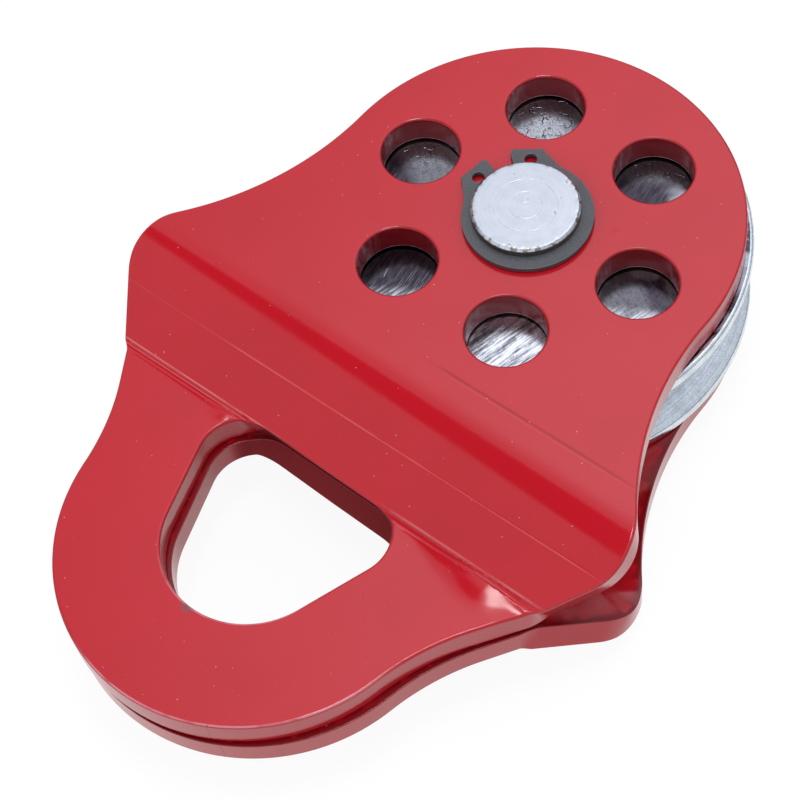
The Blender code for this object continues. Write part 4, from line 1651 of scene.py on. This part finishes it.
@dataclass
class AxlePin:
    """The plain turned bar with two ring grooves."""

    length: float = 44.4 * MM
    radius: float = 12.45 * MM
    chamfer: float = 0.55 * MM
    neck: float = 11.80 * MM
    groove_low: float = 2.05 * MM
    groove_high: float = 3.55 * MM
    end_rings: tuple[float, ...] = (4.0 * MM, 8.0 * MM, 10.5 * MM, 11.2 * MM)
    end_round: float = 0.2 * MM
    groove_round: float = 0.05 * MM
    segments: int = 240
    steep_limit: float = 0.3
    nick_depth: float = 0.16 * MM
    seed: int = 7

    def section(self) -> np.ndarray:
        """Half of the bar's section, closed along the axis."""
        top = self.length
        corners = [
            (0.0, 0.0, 0.0),
            *[(radius, 0.0, 0.0) for radius in self.end_rings],
            (self.radius - self.chamfer, 0.0, self.end_round),
            (self.radius, self.chamfer, self.end_round),
            (self.radius, self.groove_low, self.groove_round),
            (self.neck, self.groove_low, 0.0),
            (self.neck, self.groove_high, 0.0),
            (self.radius, self.groove_high, self.groove_round),
            (self.radius, top - self.groove_high, self.groove_round),
            (self.neck, top - self.groove_high, 0.0),
            (self.neck, top - self.groove_low, 0.0),
            (self.radius, top - self.groove_low, self.groove_round),
            (self.radius, top - self.chamfer, self.end_round),
            (self.radius - self.chamfer, top, self.end_round),
            *[(radius, top, 0.0) for radius in reversed(self.end_rings)],
            (0.0, top, 0.0),
        ]
        return rounded_section(corners, 3)

    def nicks(self, radius: np.ndarray, height: np.ndarray, angle: np.ndarray) -> tuple[np.ndarray, np.ndarray]:
        """Wear the end rims unevenly: a sum of waves round the rim, cut off at zero, pulls them in."""
        draw = np.random.default_rng(self.seed)
        waves = np.zeros_like(angle)
        for count in range(9, 60, 3):
            waves += np.sin(count * angle + draw.uniform(0, 2 * math.pi)) * draw.uniform(0.3, 1.0)
        worn = np.clip(waves / 4.0, 0.0, 1.0) * self.nick_depth
        top = np.clip((height - (self.length - 1.2 * self.chamfer)) / self.chamfer, 0.0, 1.0)
        low = np.clip((1.2 * self.chamfer - height) / self.chamfer, 0.0, 1.0)
        rim = np.clip((radius - self.radius + 1.6 * self.chamfer) / self.chamfer, 0.0, 1.0)
        return radius - worn * rim * (top + low), height - worn * rim * (top - low) * 0.7

    def build(self, zinc: bpy.types.Material, side: bpy.types.Material) -> bpy.types.Object:
        """Make the pin and set it on its body.

        Args:
            zinc: Finish of its ends.
            side: Finish of its side: the ends' zinc, painted darker as shade.

        Returns:
            The piece.
        """
        mesh = Turning(self.section(), self.segments, self.nicks).mesh("axle_bar")
        piece = add_piece("axle_bar", mesh, zinc)
        mesh.materials.append(side)
        steep = np.abs(polygon_heights(mesh)) < self.steep_limit
        mesh.polygons.foreach_set("material_index", steep.astype(np.int32))
        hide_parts("axle_pin")
        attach(piece, Body.AXLE.value)
        return piece


@dataclass
class Studio:
    """A white floor, an open soft sky and one soft lamp."""

    white: tuple[float, ...] = (1.0, 1.0, 1.0, 1.0)
    floor_size: float = 3.0
    floor_height: float = -0.5 * MM
    floor_paper: tuple[float, ...] = (0.80, 0.80, 0.80, 1.0)
    floor_glow: float = 1.05
    floor_glow_share: float = 0.88
    floor_dark: Span = (0.26, 0.42)
    floor_dark_level: float = 0.04
    floor_dark_reach: float = 0.03
    sky_tint: Colour = (0.97, 1.0, 1.10)
    sky_level: float = 0.74
    horizon: Span = (0.05, 0.42)
    horizon_level: float = 0.06
    glow_level: float = 1.0
    glow_centre: Spot = (-0.12, 0.42, 0.90)
    glow_edge: Span = (0.90, 0.995)
    dark_centre: float = -0.4925
    dark_front: Span = (-0.185, -1.673)
    dark_back: Span = (0.047, -0.409)
    dark_sides: Span = (-0.61, -0.22)
    dark_share: float = 0.98
    front_level: float = 0.9
    front_height: Span = (0.36, 0.56)
    front_side: Span = (-0.66, -0.46)
    key_place: Spot = (0.02, 0.0, 1.20)
    key_aim: Spot = (0.0, -0.04, 0.02)
    key_size: float = 0.30
    key_power: float = 3.15
    lens: float = 95.19
    sensor: float = 36.0
    camera_place: Spot = (0.186515, -0.210446, 0.426860)
    camera_right: Spot = (0.762588, 0.640182, -0.092900)
    camera_up: Spot = (-0.513652, 0.686540, 0.514610)
    camera_back: Spot = (0.393220, -0.344726, 0.852370)

    def sky(self) -> None:
        """Light by direction: an even sky, brighter behind, dim near the horizon, one dark gap overhead."""
        world = bpy.data.worlds.new("studio_sky")
        bpy.context.scene.world = world
        tree = Tree(world, "OutputWorld")
        where = tree.signal("TexCoord", output="Generated")
        x, y, up = tree.parts(where)
        glow = where.dot(Vector(self.glow_centre).normalized()).step(*self.glow_edge, 0.0, self.glow_level)
        front = up.band(*self.front_height, 0.05) * y.step(*self.front_side, self.front_level, 0.0)
        light = (glow + self.sky_level + front) * self.gap(x, y, up).rest()
        light = light * up.step(*self.horizon, self.horizon_level)
        seen = tree.signal("LightPath", output="Is Camera Ray")
        plain = tree.signal("Background", {"Color": self.white, "Strength": 1.0})
        lit = tree.signal("Background", {"Color": (*self.sky_tint, 1.0), "Strength": light})
        tree.finish(tree.signal("MixShader", {0: seen, 1: lit, 2: plain}))

    def gap(self, x: Signal, y: Signal, up: Signal) -> Signal:
        """The dark gap between the back panel and the roof, seen in the plate's upper bend.

        Args:
            x: The direction's first part.
            y: Its second part.
            up: Its third part.

        Returns:
            1 in the gap and 0 outside it.
        """
        across = x - self.dark_centre
        lean = y / up.at_least(0.05)
        front, back = (lean - (across * slope + offset) for offset, slope in (self.dark_front, self.dark_back))
        inside_gap = front.step(-0.035, 0.035) * back.near(-0.030, 0.030)
        return inside_gap * (x.band(*self.dark_sides, 0.03) * self.dark_share)

    def floor(self) -> None:
        """A wide floor just under the block; it looks white and keeps a soft shadow."""
        half = self.floor_size / 2
        mesh = bpy.data.meshes.new("studio_floor")
        corners = [(-half, -half), (half, -half), (half, half), (-half, half)]
        mesh.from_pydata([(x, y, self.floor_height) for x, y in corners], [], [(0, 1, 2, 3)])
        tree = Tree(bpy.data.materials.new("studio_floor"))
        paper = tree.signal("BsdfDiffuse", {"Color": self.floor_paper})
        reach = {"Distance": self.floor_dark_reach}
        open_sky = tree.signal("AmbientOcclusion", reach, "AO", samples=8)
        rays = tree.node("LightPath").outputs
        kinds = ("Is Camera Ray", "Is Glossy Ray", "Is Transmission Ray")
        camera, glossy, passing = (Signal(tree, rays[kind]) for kind in kinds)
        # Painted shadow: the glow that reflections see is dimmed by ambient occlusion near the block; the
        # camera sees it in full.
        level = open_sky.step(*self.floor_dark, self.floor_dark_level, self.floor_glow)
        glow = {"Color": self.white, "Strength": level.at_least(camera * self.floor_glow)}
        share = camera.at_least(glossy).at_least(passing) * self.floor_glow_share
        tree.finish(tree.signal("MixShader", {0: share, 1: paper, 2: tree.signal("Emission", glow)}))
        add_piece("studio_floor", mesh, tree.owner)

    def lamp(self) -> None:
        """One soft round lamp overhead."""
        light = bpy.data.lights.new("key_lamp", "AREA")
        light.shape = "DISK"
        light.size = self.key_size
        light.energy = self.key_power
        lamp = bpy.data.objects.new("key_lamp", light)
        bpy.context.scene.collection.objects.link(lamp)
        lamp.location = self.key_place
        aim = Vector(self.key_aim) - Vector(self.key_place)
        lamp.rotation_euler = aim.to_track_quat("-Z", "Y").to_euler()

    def camera(self) -> None:
        """The view of the photograph, solved from the six round holes and the pin."""
        lens = bpy.data.cameras.new("camera")
        lens.lens = self.lens
        lens.sensor_width = self.sensor
        lens.clip_start = 0.01
        camera = bpy.data.objects.new("camera", lens)
        bpy.context.scene.collection.objects.link(camera)
        turn = Matrix((self.camera_right, self.camera_up, self.camera_back)).transposed()
        camera.matrix_world = Matrix.Translation(self.camera_place) @ turn.to_4x4()
        bpy.context.scene.camera = camera

    def build(self) -> None:
        """Set up the whole studio."""
        self.sky()
        self.floor()
        self.lamp()
        self.camera()
        bpy.context.scene.view_settings.view_transform = "Standard"


def main() -> None:
    """Build every piece in order and note the sizes."""
    logging.basicConfig(level=logging.INFO, format="%(message)s")
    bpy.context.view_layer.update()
    paint = GlossPaint().material("red_paint_looks")
    steel = PhosphateSteel().material("spring_steel_looks")
    groove = TurnedZinc((0.80, 0.87, 0.92), (0.27, 0.29, 0.32), roughness=0.22, ring_pitch=0.55 * MM,
                        streaks=0.26, grainy=0.35)
    pin_end = TurnedZinc((0.60, 0.63, 0.67), ring_pitch=0.40 * MM, blotches=0.15,
                         scribed=(0.8 * MM, 3.7 * MM, 7.2 * MM), worn_rim=11.2 * MM)
    # Painted shade: the bar's side is the same zinc as its ends, painted darker.
    pin_side_shaded = TurnedZinc((0.30, 0.28, 0.25), (0.14, 0.12, 0.10), roughness=0.30, blotches=0.6)
    upper_ring = RetainingRing(
        "upper_ring_stamping", "upper_retaining_ring", 41.6 * MM, math.radians(150.0), False
    )
    lower_ring = RetainingRing(
        "lower_ring_stamping", "lower_retaining_ring", 2.8 * MM, math.radians(40.0), True
    )
    pieces = [
        SidePlate("upper_plate_pressing", "upper_side_plate", Body.UPPER, 37.1 * MM, False, 0.0).build(paint),
        SidePlate(
            "lower_plate_pressing", "lower_side_plate", Body.LOWER, 7.3 * MM, True, math.radians(0.8)
        ).build(paint),
        Sheave().build(groove.material("groove_zinc"), GroundZinc().material("side_zinc")),
        AxlePin().build(pin_end.material("pin_zinc"), pin_side_shaded.material("pin_side_zinc_painted_shade")),
        upper_ring.build(steel),
        lower_ring.build(steel),
    ]
    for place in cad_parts["sheave_bush"].material_slots:
        place.material = SinteredBronze().material("bush_bronze")
    for piece in pieces:
        LOG.info("%s: %d faces", piece.name, len(piece.data.polygons))
    Studio().build()


if __name__ == "__main__":
    main()
